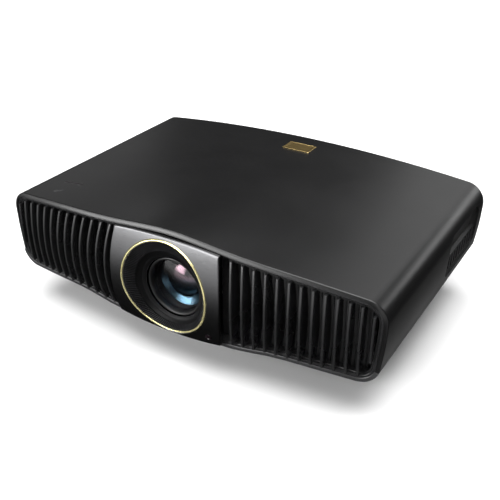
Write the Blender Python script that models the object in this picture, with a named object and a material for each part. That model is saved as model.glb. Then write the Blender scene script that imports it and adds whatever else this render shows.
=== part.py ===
# Home cinema projector, built as an assembly of separate pieces.
# Metres, +Z up, front (lens side) towards -Y, floor at Z = 0, X = 0 on the plane of symmetry.
import math

import bmesh
import bpy
from mathutils import Vector

# ---- driving dimensions -------------------------------------------------------------------
WIDTH = 0.491            # over the two side walls
HALF = WIDTH / 2
LIP_Y = -0.1549          # front lip of the top cover on the centre line
LIP_SWEEP = 0.016        # how far the lip falls back at the corners
REAR_Y = 0.1705          # rear edge of both casing halves
CORNER_TOP = 0.1472      # top of the casing at its side corners
CROWN = 0.0146           # rise of the top from the corners to the centre line
HUMP = 0.0068            # extra rise over the lens, at the front lip only
HUMP_WIDTH = 0.0641
TOP_ROUND = 0.022        # rounding from the top into the side walls
SIDE_LOW = 0.073         # height where the side wall turns under
SIDE_LEAN = 0.0036       # how far the side wall leans in on the way down
UNDER_ROUND = 0.024      # width of the rounding under the side wall
UNDERSIDE = 0.0511       # height of the lower lip at the corners
DIP = 0.0085              # the lower lip hangs lower under the lens
DIP_HALF = 0.1053         # half width of that lower stretch, at half its drop
DIP_EASE = 0.0125         # how gently it rises at each end
BASE_Z = 0.014           # flat underside that the feet screw into
BASE_HALF = 0.200
WALL = 0.003
LIP_WALL = 0.0048        # thickness of the rolled front lip
LIP_DEPTH = 0.006
BEZEL_IN = 0.0072        # inner edge of the front bezel, measured in from the casing's surface
RAIL_IN = 0.0097         # inner edge of the grilles' own rails
GAP = 0.0003             # clearance between pieces that touch

BULGE_Z = 0.0982         # height where the front face stands furthest forward
BULGE_HALF = 0.0563      # half height over which it falls back to the lip
FIN_BULGE = 0.0115
FIN_COUNT = 13
FIN_FIRST = 0.0788
FIN_PITCH = 0.01325
FIN_CLOSING = 0.000035      # each pitch is narrower than the one before it
FIN_BOW = 0.005
FIN_THICK = 0.003
FIN_DEPTH = 0.013
FIN_STEPS = 6

PANEL_LOW, PANEL_HIGH = 0.0420, 0.1615
PANEL_SAG = 0.0035       # its top edge falls this much at the corners, following the lip
PANEL_LIFT = 0.0060      # and its bottom edge rises this much
PANEL_HALF = 0.0667
PANEL_BOW = 0.0056
PANEL_STEP = 0.0035      # how far the lens panel stands proud of the grilles
PANEL_BULGE = 0.0111
PANEL_MIDDLE = 0.1002    # height at which it bulges most
PANEL_RISE = 0.0625
PANEL_WALL = 0.0038
RING_Z = 0.1014          # centre of the round lens opening
RING_R = 0.0556
RING_WIDE = 0.0022

LENS_Z = 0.0932          # optical axis
LENS_FRONT = -0.1467
FOCUS_R = 0.0359
CONE_R = 0.0402
CONE_Y = -0.1502
SHIFT_V = 0.003          # lens shift travel each way
SHIFT_H = 0.0022
ROUND = 32               # sides of the larger round pieces


# ---- helpers that turn points into closed solids -----------------------------------------
for old in list(bpy.data.objects):
    bpy.data.objects.remove(old, do_unlink=True)


def material(name, colour, roughness, metallic=0.0):
    """A Principled material, made once and then looked up by name."""
    found = bpy.data.materials.get(name)
    if found:
        return found
    made = bpy.data.materials.new(name)
    made.use_nodes = True
    shader = made.node_tree.nodes["Principled BSDF"]
    shader.inputs["Base Color"].default_value = (*colour, 1.0)
    shader.inputs["Roughness"].default_value = roughness
    shader.inputs["Metallic"].default_value = metallic
    return made


CASING = ("satin_casing", (0.028, 0.028, 0.030), 0.42)
MOULDED = ("moulded_black", (0.012, 0.012, 0.013), 0.5)
METAL_GREY = ("grey_metal_finish", (0.16, 0.16, 0.165), 0.35, 0.8)
GOLD = ("champagne_gold", (0.78, 0.60, 0.24), 0.25, 1.0)
RUBBER = ("rubber", (0.02, 0.02, 0.02), 0.85)
GLASS = ("coated_glass", (0.10, 0.16, 0.28), 0.05)
STEEL = ("plated_steel", (0.55, 0.56, 0.58), 0.35, 1.0)
ALLOY = ("cast_alloy", (0.42, 0.43, 0.45), 0.5, 0.9)
BOARD = ("circuit_board", (0.02, 0.13, 0.06), 0.5)
SOCKET = ("socket_black", (0.015, 0.015, 0.016), 0.55)


def finish(name, bm, kind, origin=(0, 0, 0), smooth=True):
    """Turn a bmesh in world places into a named object with its origin where it is wanted."""
    bmesh.ops.recalc_face_normals(bm, faces=bm.faces)
    bmesh.ops.translate(bm, vec=-Vector(origin), verts=bm.verts)
    mesh = bpy.data.meshes.new(name)
    bm.to_mesh(mesh)
    bm.free()
    if smooth:
        mesh.shade_smooth()
        mesh.set_sharp_from_angle(angle=math.radians(35))
    made = bpy.data.objects.new(name, mesh)
    made.location = origin
    made.data.materials.append(material(*kind))
    bpy.context.collection.objects.link(made)
    return made


def add_stack(bm, loops):
    """Skin a row of closed loops and close both ends."""
    rings = [[bm.verts.new(point) for point in loop] for loop in loops]
    count = len(rings[0])
    for low, high in zip(rings, rings[1:]):
        for i in range(count):
            j = (i + 1) % count
            bm.faces.new((low[i], low[j], high[j], high[i]))
    bm.faces.new(rings[0])
    bm.faces.new(rings[-1])


def stack(name, loops, kind, origin=(0, 0, 0)):
    bm = bmesh.new()
    add_stack(bm, loops)
    return finish(name, bm, kind, origin)


def band(name, sections, kind, closed=False, origin=(0, 0, 0)):
    """Skin a row of sections, each an outer and an inner line of points, into a thick shell."""
    bm = bmesh.new()
    rows = []
    for outer, inner in sections:
        rows.append(([bm.verts.new(p) for p in outer], [bm.verts.new(p) for p in inner]))
    pairs = list(zip(rows, rows[1:]))
    if closed:
        pairs.append((rows[-1], rows[0]))
    last = len(rows[0][0]) - 1
    for (out_a, in_a), (out_b, in_b) in pairs:
        for i in range(last):
            bm.faces.new((out_a[i], out_a[i + 1], out_b[i + 1], out_b[i]))
            bm.faces.new((in_a[i + 1], in_a[i], in_b[i], in_b[i + 1]))
        bm.faces.new((out_a[0], out_b[0], in_b[0], in_a[0]))
        bm.faces.new((out_b[last], out_a[last], in_a[last], in_b[last]))
    if not closed:
        for outer, inner in (rows[0], rows[-1]):
            for i in range(last):
                bm.faces.new((outer[i], inner[i], inner[i + 1], outer[i + 1]))
    return finish(name, bm, kind, origin)


def placed(axis, along, u, v):
    """A point given by its place along an axis and its two other coordinates."""
    return {"x": (along, u, v), "y": (u, along, v), "z": (u, v, along)}[axis]


def circle(axis, along, centre, radius, sides=ROUND):
    return [
        placed(axis, along, centre[0] + radius * math.cos(math.tau * i / sides),
               centre[1] + radius * math.sin(math.tau * i / sides))
        for i in range(sides)
    ]


def turned(name, axis, centre, steps, kind, sides=ROUND, origin=(0, 0, 0)):
    """A solid turned piece: steps are (place along the axis, radius) from end to end."""
    loops = [circle(axis, along, centre, radius, sides) for along, radius in steps]
    return stack(name, loops, kind, origin)


def tube(name, axis, centre, outer, inner, kind, sides=ROUND, origin=(0, 0, 0)):
    """A turned piece with a bore: outer and inner are rows of (along, radius)."""
    sections = []
    for i in range(sides):
        turn = math.tau * i / sides
        lines = []
        for row in (outer, inner):
            lines.append([
                placed(axis, along, centre[0] + radius * math.cos(turn),
                       centre[1] + radius * math.sin(turn))
                for along, radius in row
            ])
        sections.append(lines)
    return band(name, sections, kind, closed=True, origin=origin)


def rectangle(axis, along, low, high, radius=0.0, steps=3):
    """A rectangle across an axis, with rounded corners if a radius is given."""
    if radius == 0.0:
        return [placed(axis, along, u, v) for u, v in
                ((low[0], low[1]), (high[0], low[1]), (high[0], high[1]), (low[0], high[1]))]
    corners = ((high[0] - radius, high[1] - radius, 0), (low[0] + radius, high[1] - radius, 1),
               (low[0] + radius, low[1] + radius, 2), (high[0] - radius, low[1] + radius, 3))
    points = []
    for u, v, quarter in corners:
        for i in range(steps + 1):
            turn = math.pi / 2 * (quarter + i / steps)
            points.append(placed(axis, along, u + radius * math.cos(turn),
                                 v + radius * math.sin(turn)))
    return points


def add_box(bm, low, high):
    add_stack(bm, [rectangle("z", z, low[:2], high[:2]) for z in (low[2], high[2])])


def boxes(name, corners, kind, origin=(0, 0, 0)):
    bm = bmesh.new()
    for low, high in corners:
        add_box(bm, low, high)
    return finish(name, bm, kind, origin, smooth=False)


def boolean(target, tool, operation):
    """Cut or join with a second object, which is then only a guide."""
    tool.hide_render = True
    tool.display_type = "WIRE"
    step = target.modifiers.new(tool.name, "BOOLEAN")
    step.operation = operation
    step.solver = "EXACT"
    step.object = tool


def cut(target, tool):
    boolean(target, tool, "DIFFERENCE")


def join(target, tool):
    boolean(target, tool, "UNION")


def holed_plate(name, low, high, y_range, hole, kind, sides=32):
    """A flat plate across Y with one round hole: low and high are (x, z) corners."""
    centre_x, centre_z, radius = hole
    corners = [(x, z) for x in (low[0], high[0]) for z in (low[1], high[1])]
    turns = [math.tau * i / sides for i in range(sides)]
    turns += [math.atan2(z - centre_z, x - centre_x) % math.tau for x, z in corners]
    sections = []
    for turn in sorted(turns):
        c, s = math.cos(turn), math.sin(turn)
        reach = []
        if abs(c) > 1e-9:
            reach.append(((high[0] if c > 0 else low[0]) - centre_x) / c)
        if abs(s) > 1e-9:
            reach.append(((high[1] if s > 0 else low[1]) - centre_z) / s)
        far = min(reach)
        line = [(centre_x + r * c, centre_z + r * s) for r in (radius, far)]
        sections.append([[(x, y, z) for x, z in line] for y in y_range])
    return band(name, sections, kind, closed=True)


# ---- the casing's own shape ---------------------------------------------------------------
def lip_y(x):
    return LIP_Y + LIP_SWEEP * (x / HALF) ** 2


def top_z(x, hump=0.0):
    return CORNER_TOP + CROWN * (1 - (x / HALF) ** 2) + hump * HUMP * math.exp(-(x / HUMP_WIDTH) ** 2)


def under_z(x):
    return UNDERSIDE - DIP / (1 + math.exp((abs(x) - DIP_HALF) / DIP_EASE))


def side_x(z):
    """Half width of the side wall at a height between the two roundings."""
    top = CORNER_TOP - TOP_ROUND
    fall = max(0.0, min(1.0, (top - z) / (top - SIDE_LOW)))
    return HALF - SIDE_LEAN * fall ** 2


def half_outline(hump, inset):
    """Right half of the casing's section, from top centre round to bottom centre."""
    flat = HALF - TOP_ROUND
    points = [(flat * i / 12, top_z(flat * i / 12, hump)) for i in range(13)]
    for i in range(1, 7):
        turn = math.pi / 2 * i / 6
        x = flat + TOP_ROUND * math.sin(turn)
        points.append((x, top_z(x, hump) - TOP_ROUND * (1 - math.cos(turn))))
    for i in range(1, 4):
        z = points[18][1] + (SIDE_LOW - points[18][1]) * i / 3
        points.append((side_x(z), z))
    inner = points[-1][0] - UNDER_ROUND
    drop = SIDE_LOW - under_z(inner)
    for i in range(1, 7):
        turn = math.pi / 2 * i / 6
        points.append((inner + UNDER_ROUND * math.cos(turn), SIDE_LOW - drop * math.sin(turn)))
    points += [(x, under_z(x)) for x in (BASE_HALF, 0.16, 0.12, 0.09, 0.06, 0.03, 0.0)]
    moved = []
    for i, (x, z) in enumerate(points):
        before = points[i - 1] if i else (-points[1][0], points[1][1])
        after = points[i + 1] if i + 1 < len(points) else (-points[-2][0], points[-2][1])
        run = Vector((after[0] - before[0], after[1] - before[1])).normalized()
        moved.append((x + run.y * inset, z - run.x * inset))
    return moved


PARTING = 22             # outline point where the top cover ends and the bottom case begins


def mirrored(points):
    """Left half in reverse and then the right half, sharing the centre point."""
    return [(-x, z) for x, z in reversed(points[1:])] + points


def fade(share):
    """How much of the hump over the lens is left part of the way back."""
    t = max(0.0, min(1.0, (share - 0.02) / 0.5))
    return 1 - t * t * (3 - 2 * t)


def station(x, back):
    """A place along the depth: back is a distance behind the lip, or a share if over 1."""
    if back >= 1:
        return lip_y(x) + (back - 1) * (REAR_Y - lip_y(x))
    return lip_y(x) + back


LIP_END = LIP_DEPTH + 0.0002
DEEP = [(0.0, LIP_WALL), (LIP_DEPTH, LIP_WALL), (LIP_END, WALL)]


def share_of(back):
    return back - 1 if back >= 1 else back / (REAR_Y - LIP_Y)


def top_cover():
    sections = []
    for back, wall in DEEP + [(1.10, WALL), (1.22, WALL), (1.36, WALL), (1.52, WALL),
                              (1.75, WALL), (2.0, WALL)]:
        lines = []
        for inset in (0.0, wall):
            half = half_outline(fade(share_of(back)), inset)[:PARTING + 1]
            half[-1] = (half[-1][0], half[-1][1] + GAP)
            lines.append([(x, station(x, back), z) for x, z in mirrored(half)])
        sections.append(lines)
    cover = band("top_cover", sections, CASING)
    bm = bmesh.new()
    for side in (-1, 1):
        reach = sorted((side * (HALF - 0.016), side * (HALF + 0.01)))
        add_stack(bm, [rectangle("x", x, BAY_LOW, BAY_HIGH, BAY_ROUND, 4) for x in reach])
    add_stack(bm, [rectangle("z", z, STATUS_LOW, STATUS_HIGH) for z in (0.13, 0.17)])
    cut(cover, finish("cover_openings", bm, MOULDED, smooth=False))


BAY_LOW, BAY_HIGH = (0.047, 0.0765), (0.153, 0.132)     # (y, z) corners of both side openings
BAY_ROUND = 0.012
STATUS_LOW, STATUS_HIGH = (-0.2020, -0.0935), (-0.1720, -0.0905)


def hull_drop(x, y, lip):
    """Share of the way from the slab's underside down to the flat base."""
    across = max(0.0, min(1.0, (0.2179 - abs(x)) / (0.2179 - BASE_HALF)))
    front = (y - lip - 0.010) / 0.040
    rear = (REAR_Y - 0.008 - y) / 0.022
    return across * max(0.0, min(1.0, front, rear))


FOOT_PLACES = {"front_left": (-0.165, -0.058), "front_right": (0.165, -0.058),
               "rear_left": (-0.165, 0.128), "rear_right": (0.165, 0.128)}
BRACKET_HOLES = [(-0.10, -0.06), (0.10, -0.06), (-0.10, 0.10), (0.10, 0.10)]


def bottom_case():
    sections = []
    stations = DEEP + [(0.010, WALL), (0.030, WALL), (0.050, WALL)]
    stations += [(1.40, WALL), (1.65, WALL)]
    rows = [(back, wall, None) for back, wall in stations]
    rows += [(None, WALL, REAR_Y - 0.030), (None, WALL, REAR_Y - 0.008), (None, WALL, REAR_Y)]
    for back, wall, fixed in rows:
        lines = []
        full = half_outline(0.0, 0.0)[PARTING:]
        for inset in (0.0, wall):
            half = half_outline(0.0, inset)[PARTING:]
            placed_half = []
            for (x, z), (x0, z0) in zip(half, full):
                y = fixed if back is None else station(x0, back)
                fall = hull_drop(x0, y, lip_y(x0))
                placed_half.append((x, y, z + (BASE_Z - z0) * fall))
            left = [(-x, y, z) for x, y, z in placed_half[:-1]]
            lines.append(left + list(reversed(placed_half)))
        sections.append(lines)
    case = band("bottom_case", sections, CASING)
    bm = bmesh.new()
    for x, y in FOOT_PLACES.values():
        add_stack(bm, [circle("z", z, (x, y), 0.009, 16) for z in (BASE_Z + 0.001, 0.032)])
    join(case, finish("foot_bosses", bm, MOULDED))
    bm = bmesh.new()
    for x, y in FOOT_PLACES.values():
        add_stack(bm, [circle("z", z, (x, y), FOOT_SCREW_R + 0.0005, 16) for z in (0.0, 0.05)])
    for x, y in BRACKET_HOLES:
        add_stack(bm, [circle("z", z, (x, y), 0.0022, 12) for z in (0.0, 0.05)])
    cut(case, finish("base_holes", bm, MOULDED))
    cut(case, cone_clearance("lip_notch", 0.0478))


def cone_clearance(name, floor):
    """The lens cone dips through the lower lip and the bezel on the centre line."""
    return boxes(name, [((-0.028, LIP_Y - 0.01, floor), (0.028, LIP_Y + 0.016, 0.060))], MOULDED)


FOOT_SCREW_R = 0.0045


def feet():
    for place, (x, y) in FOOT_PLACES.items():
        steps = [(0.0, 0.0105), (0.0012, 0.0118), (0.0052, 0.0118), (0.0062, 0.0108),
                 (0.0062, 0.0062), (0.0085, FOOT_SCREW_R), (0.0320, FOOT_SCREW_R),
                 (0.0330, 0.0035)]
        turned("foot_" + place, "z", (x, y), steps, RUBBER, 16, origin=(x, y, 0))


def closed_outline(inset):
    half = half_outline(1.0, inset)
    return half + [(-x, z) for x, z in reversed(half[1:-1])]


def front_bezel():
    sections = []
    for (x0, z0), (x1, z1) in zip(closed_outline(LIP_WALL + GAP), closed_outline(BEZEL_IN)):
        sections.append((
            [(x0, lip_y(x0) + 0.0018, z0), (x0, lip_y(x0) + 0.012, z0)],
            [(x1, lip_y(x1) + 0.0018, z1), (x1, lip_y(x1) + 0.012, z1)],
        ))
    bezel = band("front_bezel", sections, MOULDED, closed=True)
    cut(bezel, cone_clearance("bezel_notch", 0.040))


def fin_face(x, z):
    """Depth of the grilles' front edges."""
    reach = FIN_BULGE * (1 - 0.85 * (x / HALF) ** 4)
    return lip_y(x) - reach * max(0.0, 1 - ((z - BULGE_Z) / BULGE_HALF) ** 2)


def panel_face(x, z):
    """Depth of the lens panel's front surface."""
    swell = 1 - ((z - PANEL_MIDDLE) / PANEL_RISE) ** 2
    return lip_y(x) - PANEL_STEP - PANEL_BULGE * max(0.0, swell)


def outline_span(x, inset):
    """Lowest and highest point of the inset outline at a given x."""
    half = half_outline(1.0, inset)
    widest = max(range(len(half)), key=lambda i: half[i][0])
    spans = []
    for run in (half[widest:], half[:widest + 1]):
        for (xa, za), (xb, zb) in zip(run, run[1:]):
            if min(xa, xb) <= x <= max(xa, xb) and xa != xb:
                spans.append(za + (zb - za) * (x - xa) / (xb - xa))
                break
    return spans


def grille(name, side):
    """A rounded frame with thirteen upright fins that bow with the front face."""
    rails = []
    for inset, inner_x in ((BEZEL_IN + GAP, 0.0748), (RAIL_IN, 0.0778)):
        half = [p for p in half_outline(1.0, inset) if p[0] > 0.0800]
        low, high = outline_span(inner_x, inset)
        rails.append([(inner_x, high)] + half + [(inner_x, low)])
    sections = []
    for (x0, z0), (x1, z1) in zip(*rails):
        sections.append((
            [(side * x0, lip_y(x0) + 0.003, z0), (side * x0, lip_y(x0) + 0.011, z0)],
            [(side * x1, lip_y(x1) + 0.003, z1), (side * x1, lip_y(x1) + 0.011, z1)],
        ))
    frame = band(name, sections, MOULDED, closed=True)
    bm = bmesh.new()
    for i in range(FIN_COUNT):
        root = FIN_FIRST + FIN_PITCH * i - FIN_CLOSING * i * i
        bow = FIN_BOW * (1 - (i / (FIN_COUNT - 1)) ** 2)
        low, high = outline_span(root + FIN_THICK / 2, (BEZEL_IN + RAIL_IN) / 2)
        loops = []
        for k in range(FIN_STEPS + 1):
            z = low + (high - low) * k / FIN_STEPS
            x = root + bow * max(0.0, 1 - ((z - BULGE_Z) / BULGE_HALF) ** 2)
            front = fin_face(x, z)
            back = max(front + FIN_DEPTH, lip_y(x) + 0.0085)
            loops.append([(side * (x + dx), y, z) for dx, y in (
                (-FIN_THICK / 2, front), (FIN_THICK / 2, front),
                (FIN_THICK / 4, back), (-FIN_THICK / 4, back))])
        add_stack(bm, loops)
    join(frame, finish(name + "_fins", bm, MOULDED))


def in_panel(x, z):
    """Whether a place lies within the lens panel's outline."""
    side = PANEL_HALF + PANEL_BOW * (1 - ((z - PANEL_MIDDLE) / PANEL_RISE) ** 2)
    share = (x / PANEL_HALF) ** 2
    return abs(x) <= side and PANEL_LOW + PANEL_LIFT * share <= z <= PANEL_HIGH - PANEL_SAG * share


def panel_reach(turn):
    """Distance from the ring's centre to the lens panel's edge in a direction."""
    c, s = math.cos(turn), math.sin(turn)
    near, far = 0.0, 0.2
    while far - near > 1e-7:
        middle = (near + far) / 2
        if in_panel(c * middle, RING_Z + s * middle):
            near = middle
        else:
            far = middle
    return near


def lens_panel():
    ends = PANEL_LOW + PANEL_LIFT, PANEL_HIGH - PANEL_SAG
    corner = [math.atan2(z - RING_Z, PANEL_HALF) for z in ends]
    turns = [math.tau * i / 56 for i in range(56)]
    turns += [t % math.tau for t in corner] + [(math.pi - t) % math.tau for t in corner]
    sections = []
    for turn in sorted(turns):
        inner, outer = RING_R + RING_WIDE / 2 + GAP, panel_reach(turn)
        lines = [[], []]
        for share in (0.0, 0.5, 1.0):
            radius = inner + (outer - inner) * share
            x, z = radius * math.cos(turn), RING_Z + radius * math.sin(turn)
            y = panel_face(x, z)
            lines[0].append((x, y, z))
            lines[1].append((x, y + PANEL_WALL, z))
        sections.append(lines)
    panel = band("lens_panel", sections, METAL_GREY, closed=True)
    bm = bmesh.new()
    add_stack(bm, [circle("y", y, IR_PLACE, IR_R + GAP, 20) for y in (-0.18, -0.14)])
    cut(panel, finish("window_hole", bm, MOULDED))


IR_PLACE, IR_R = (0.0555, 0.0585), 0.0042


def ir_window():
    face = panel_face(*IR_PLACE)
    steps = [(face + 0.0004, IR_R), (face + 0.0060, IR_R), (face + 0.0060, IR_R - 0.001)]
    turned("ir_window", "y", IR_PLACE, steps, GLASS, 20)


def ring_point(turn, radius, depth):
    x, z = radius * math.cos(turn), RING_Z + radius * math.sin(turn)
    return (x, panel_face(x, z) + depth, z)


def lens_trim_ring():
    sections = []
    low, high = RING_R - RING_WIDE / 2, RING_R + RING_WIDE / 2
    for i in range(64):
        turn = math.tau * i / 64
        sections.append((
            [ring_point(turn, low + 0.0003, -0.0008), ring_point(turn, low, 0.003)],
            [ring_point(turn, high - 0.0003, -0.0008), ring_point(turn, high, 0.003)],
        ))
    band("lens_trim_ring", sections, GOLD, closed=True)


def lens_cone():
    """Funnel from the trim ring down to the lens, whose axis sits lower than the ring."""
    sections = []
    outer = RING_R - RING_WIDE / 2 - GAP
    for i in range(48):
        turn = math.tau * i / 48
        rim_front = Vector(ring_point(turn, outer, 0.0006))
        rim_back = rim_front + Vector((0, 0.0028, 0))
        throat = Vector((CONE_R * math.cos(turn), CONE_Y, LENS_Z + CONE_R * math.sin(turn)))
        behind = throat + Vector((0, 0.0032, 0))
        front, back = [rim_front], [rim_back]
        for share in (0.5, 1.0):
            front.append(rim_front.lerp(throat, share))
            back.append(rim_back.lerp(behind, share))
        sections.append((front, back))
    band("lens_cone", sections, MOULDED, closed=True)


# ---- rear panel and its sockets -----------------------------------------------------------
# name: (x centre, z low, width, height, depth)
PORTS = {
    "hdmi_port_1": (-0.150, 0.0795, 0.0165, 0.0078, 0.014),
    "hdmi_port_2": (-0.116, 0.0795, 0.0165, 0.0078, 0.014),
    "usb_port": (-0.082, 0.0795, 0.0155, 0.0080, 0.016),
    "lan_port": (-0.045, 0.0795, 0.0165, 0.0138, 0.018),
    "serial_port": (0.005, 0.0795, 0.0310, 0.0125, 0.012),
    "ac_inlet": (0.178, 0.0560, 0.0300, 0.0240, 0.024),
}
PANEL_BACK = REAR_Y - 0.0010
PANEL_FRONT = REAR_Y - 0.0035


def port_box(name, grow=0.0):
    x, z, wide, high, deep = PORTS[name]
    return ((x - wide / 2 - grow, PANEL_BACK + 0.0004 - deep, z - grow),
            (x + wide / 2 + grow, PANEL_BACK + 0.0004, z + high + grow))


def rear_panel():
    half = half_outline(0.0, WALL + GAP)
    outline = half + [(-x, z) for x, z in reversed(half[1:-1])]
    plate = stack("rear_panel", [[(x, y, z) for x, z in outline] for y in (PANEL_FRONT, PANEL_BACK)],
                  MOULDED)
    bm = bmesh.new()
    for name in PORTS:
        low, high = port_box(name, GAP)
        add_box(bm, (low[0], PANEL_FRONT - 0.01, low[2]), (high[0], PANEL_BACK + 0.01, high[2]))
    for i in range(14):
        x = 0.050 + 0.0075 * i
        add_box(bm, (x, PANEL_FRONT - 0.01, 0.090), (x + 0.0035, PANEL_BACK + 0.01, 0.125))
    cut(plate, finish("rear_openings", bm, MOULDED, smooth=False))


def socket(name, wall, floor, tongue, kind, short=0.002):
    """A receptacle open to the rear; its tongue or pins stop short of the mouth."""
    low, high = port_box(name)
    shell = boxes(name, [(low, high)], kind)
    inside_low = (low[0] + wall, low[1] + floor, low[2] + wall)
    inside_high = (high[0] - wall, high[1] + 0.01, high[2] - wall)
    cut(shell, boxes(name + "_cavity", [(inside_low, inside_high)], kind))
    middle_x, middle_z = (low[0] + high[0]) / 2, (low[2] + high[2]) / 2
    parts = []
    for dx, dz, wide, tall in tongue:
        parts.append(((middle_x + dx - wide / 2, low[1] + floor / 2, middle_z + dz - tall / 2),
                      (middle_x + dx + wide / 2, high[1] - short, middle_z + dz + tall / 2)))
    join(shell, boxes(name + "_contacts", parts, kind))


def sockets():
    for name in ("hdmi_port_1", "hdmi_port_2"):
        socket(name, 0.0010, 0.004, [(0, 0.0004, 0.011, 0.0018)], STEEL)
    socket("usb_port", 0.0010, 0.004, [(0, 0.0014, 0.0115, 0.0018)], STEEL)
    socket("lan_port", 0.0012, 0.005, [(0, -0.0044, 0.010, 0.0012)], STEEL)
    socket("serial_port", 0.0030, 0.004, [(0, 0, 0.018, 0.0026)], STEEL)
    pins = [(-0.007, -0.003, 0.002, 0.004), (0.007, -0.003, 0.002, 0.004), (0, 0.003, 0.002, 0.004)]
    socket("ac_inlet", 0.0030, 0.005, pins, SOCKET, 0.0075)


# ---- side vent, key pad and its sliding door ----------------------------------------------
VENT_LOW = (BAY_LOW[0] + GAP, BAY_LOW[1] + GAP)
VENT_HIGH = (BAY_HIGH[0] - GAP, BAY_HIGH[1] - GAP)


def right_side_vent():
    """A louvred insert that fills the right-hand opening a little below the side's surface."""
    bm = bmesh.new()
    loops = []
    flat = rectangle("x", 0.0, VENT_LOW, VENT_HIGH, BAY_ROUND - GAP, 4)
    for inset in (0.0010, 0.0036):
        loops.append([(vent_x(z) - inset, y, z) for _, y, z in flat])
    add_stack(bm, loops)
    vent = finish("right_side_vent", bm, MOULDED)
    bm = bmesh.new()
    for i in range(9):
        y = 0.0600 + 0.0100 * i
        add_stack(bm, [rectangle("x", x, (y, 0.0815), (y + 0.0052, 0.1020)) for x in (0.22, 0.26)])
    cut(vent, finish("vent_slots", bm, MOULDED, smooth=False))


def vent_x(z):
    """Straight chord of the side wall between the foot and the head of the opening."""
    low_z, high_z = BAY_LOW[1], BAY_HIGH[1]
    high_x = 0.2436
    return side_x(low_z) + (high_x - side_x(low_z)) * (z - low_z) / (high_z - low_z)


DOOR_X = -0.2385
TRAY_X = -0.2345
KEY_TOP = -0.2362
KEY_TRAVEL = 0.0008
KEY_CENTRE = (0.118, 0.104)
# name: (y, z, radius)
KEYS = {
    "button_power": (0.064, 0.104, 0.0060),
    "button_source": (0.084, 0.116, 0.0045),
    "button_back": (0.084, 0.092, 0.0045),
    "button_ok": (*KEY_CENTRE, 0.0050),
    "button_up": (KEY_CENTRE[0], KEY_CENTRE[1] + 0.0125, 0.0042),
    "button_down": (KEY_CENTRE[0], KEY_CENTRE[1] - 0.0125, 0.0042),
    "button_left": (KEY_CENTRE[0] - 0.0125, KEY_CENTRE[1], 0.0042),
    "button_right": (KEY_CENTRE[0] + 0.0125, KEY_CENTRE[1], 0.0042),
}


def keypad():
    stack("keypad_door", [rectangle("x", x, (0.0440, 0.0740), (0.1560, 0.1345), 0.006)
                          for x in (DOOR_X, DOOR_X + 0.0018)], CASING, origin=(DOOR_X, 0.1, 0.104))
    tray = stack("keypad_tray", [rectangle("x", x, (0.0480, 0.0780), (0.1520, 0.1300), 0.006)
                                 for x in (TRAY_X, TRAY_X + 0.0020)], MOULDED)
    bm = bmesh.new()
    for y, z, radius in KEYS.values():
        add_stack(bm, [circle("x", x, (y, z), radius + GAP, 12) for x in (-0.25, -0.22)])
    cut(tray, finish("key_holes", bm, MOULDED))
    for name, (y, z, radius) in KEYS.items():
        steps = [(KEY_TOP, radius - 0.0008), (KEY_TOP + 0.0006, radius),
                 (TRAY_X + 0.0036, radius), (TRAY_X + 0.0036, radius + 0.0009),
                 (TRAY_X + 0.0048, radius + 0.0009)]
        turned(name, "x", (y, z), steps, RUBBER, 12, origin=(KEY_TOP, y, z))


    stack("keypad_board", [rectangle("x", x, (0.0520, 0.0820), (0.1480, 0.1260))
                           for x in (TRAY_X + 0.0060, TRAY_X + 0.0076)], BOARD)


def status_window():
    low = (STATUS_LOW[0] + GAP, STATUS_LOW[1] + GAP)
    high = (STATUS_HIGH[0] - GAP, STATUS_HIGH[1] - GAP)
    loops = []
    for drop in (0.0002, 0.0040):
        loops.append([(x, y, top_z(x) - drop) for x, y, _ in rectangle("z", 0.0, low, high)])
    stack("status_window", loops, GLASS)


def top_badge():
    """Plain gold plate, without lettering, near the rear of the top."""
    near, far = 0.1217, 0.1455
    sections = []
    for i in range(5):
        x = -0.0150 + 0.0390 * i / 4
        z = top_z(x)
        sections.append(([(x, near, z + 0.0009), (x, far, z + 0.0009)],
                         [(x, near, z + GAP), (x, far, z + GAP)]))
    band("top_badge", sections, GOLD)


# ---- lens with its rings, shift carriages and drives ---------------------------------------
AXIS = (0.0, LENS_Z)
PINION_R = 0.0085
RIM_R = 0.0390
DRIVE_REACH = RIM_R + PINION_R + GAP


def drive_place(degrees):
    turn = math.radians(degrees)
    return (DRIVE_REACH * math.cos(turn), LENS_Z + DRIVE_REACH * math.sin(turn))


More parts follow.
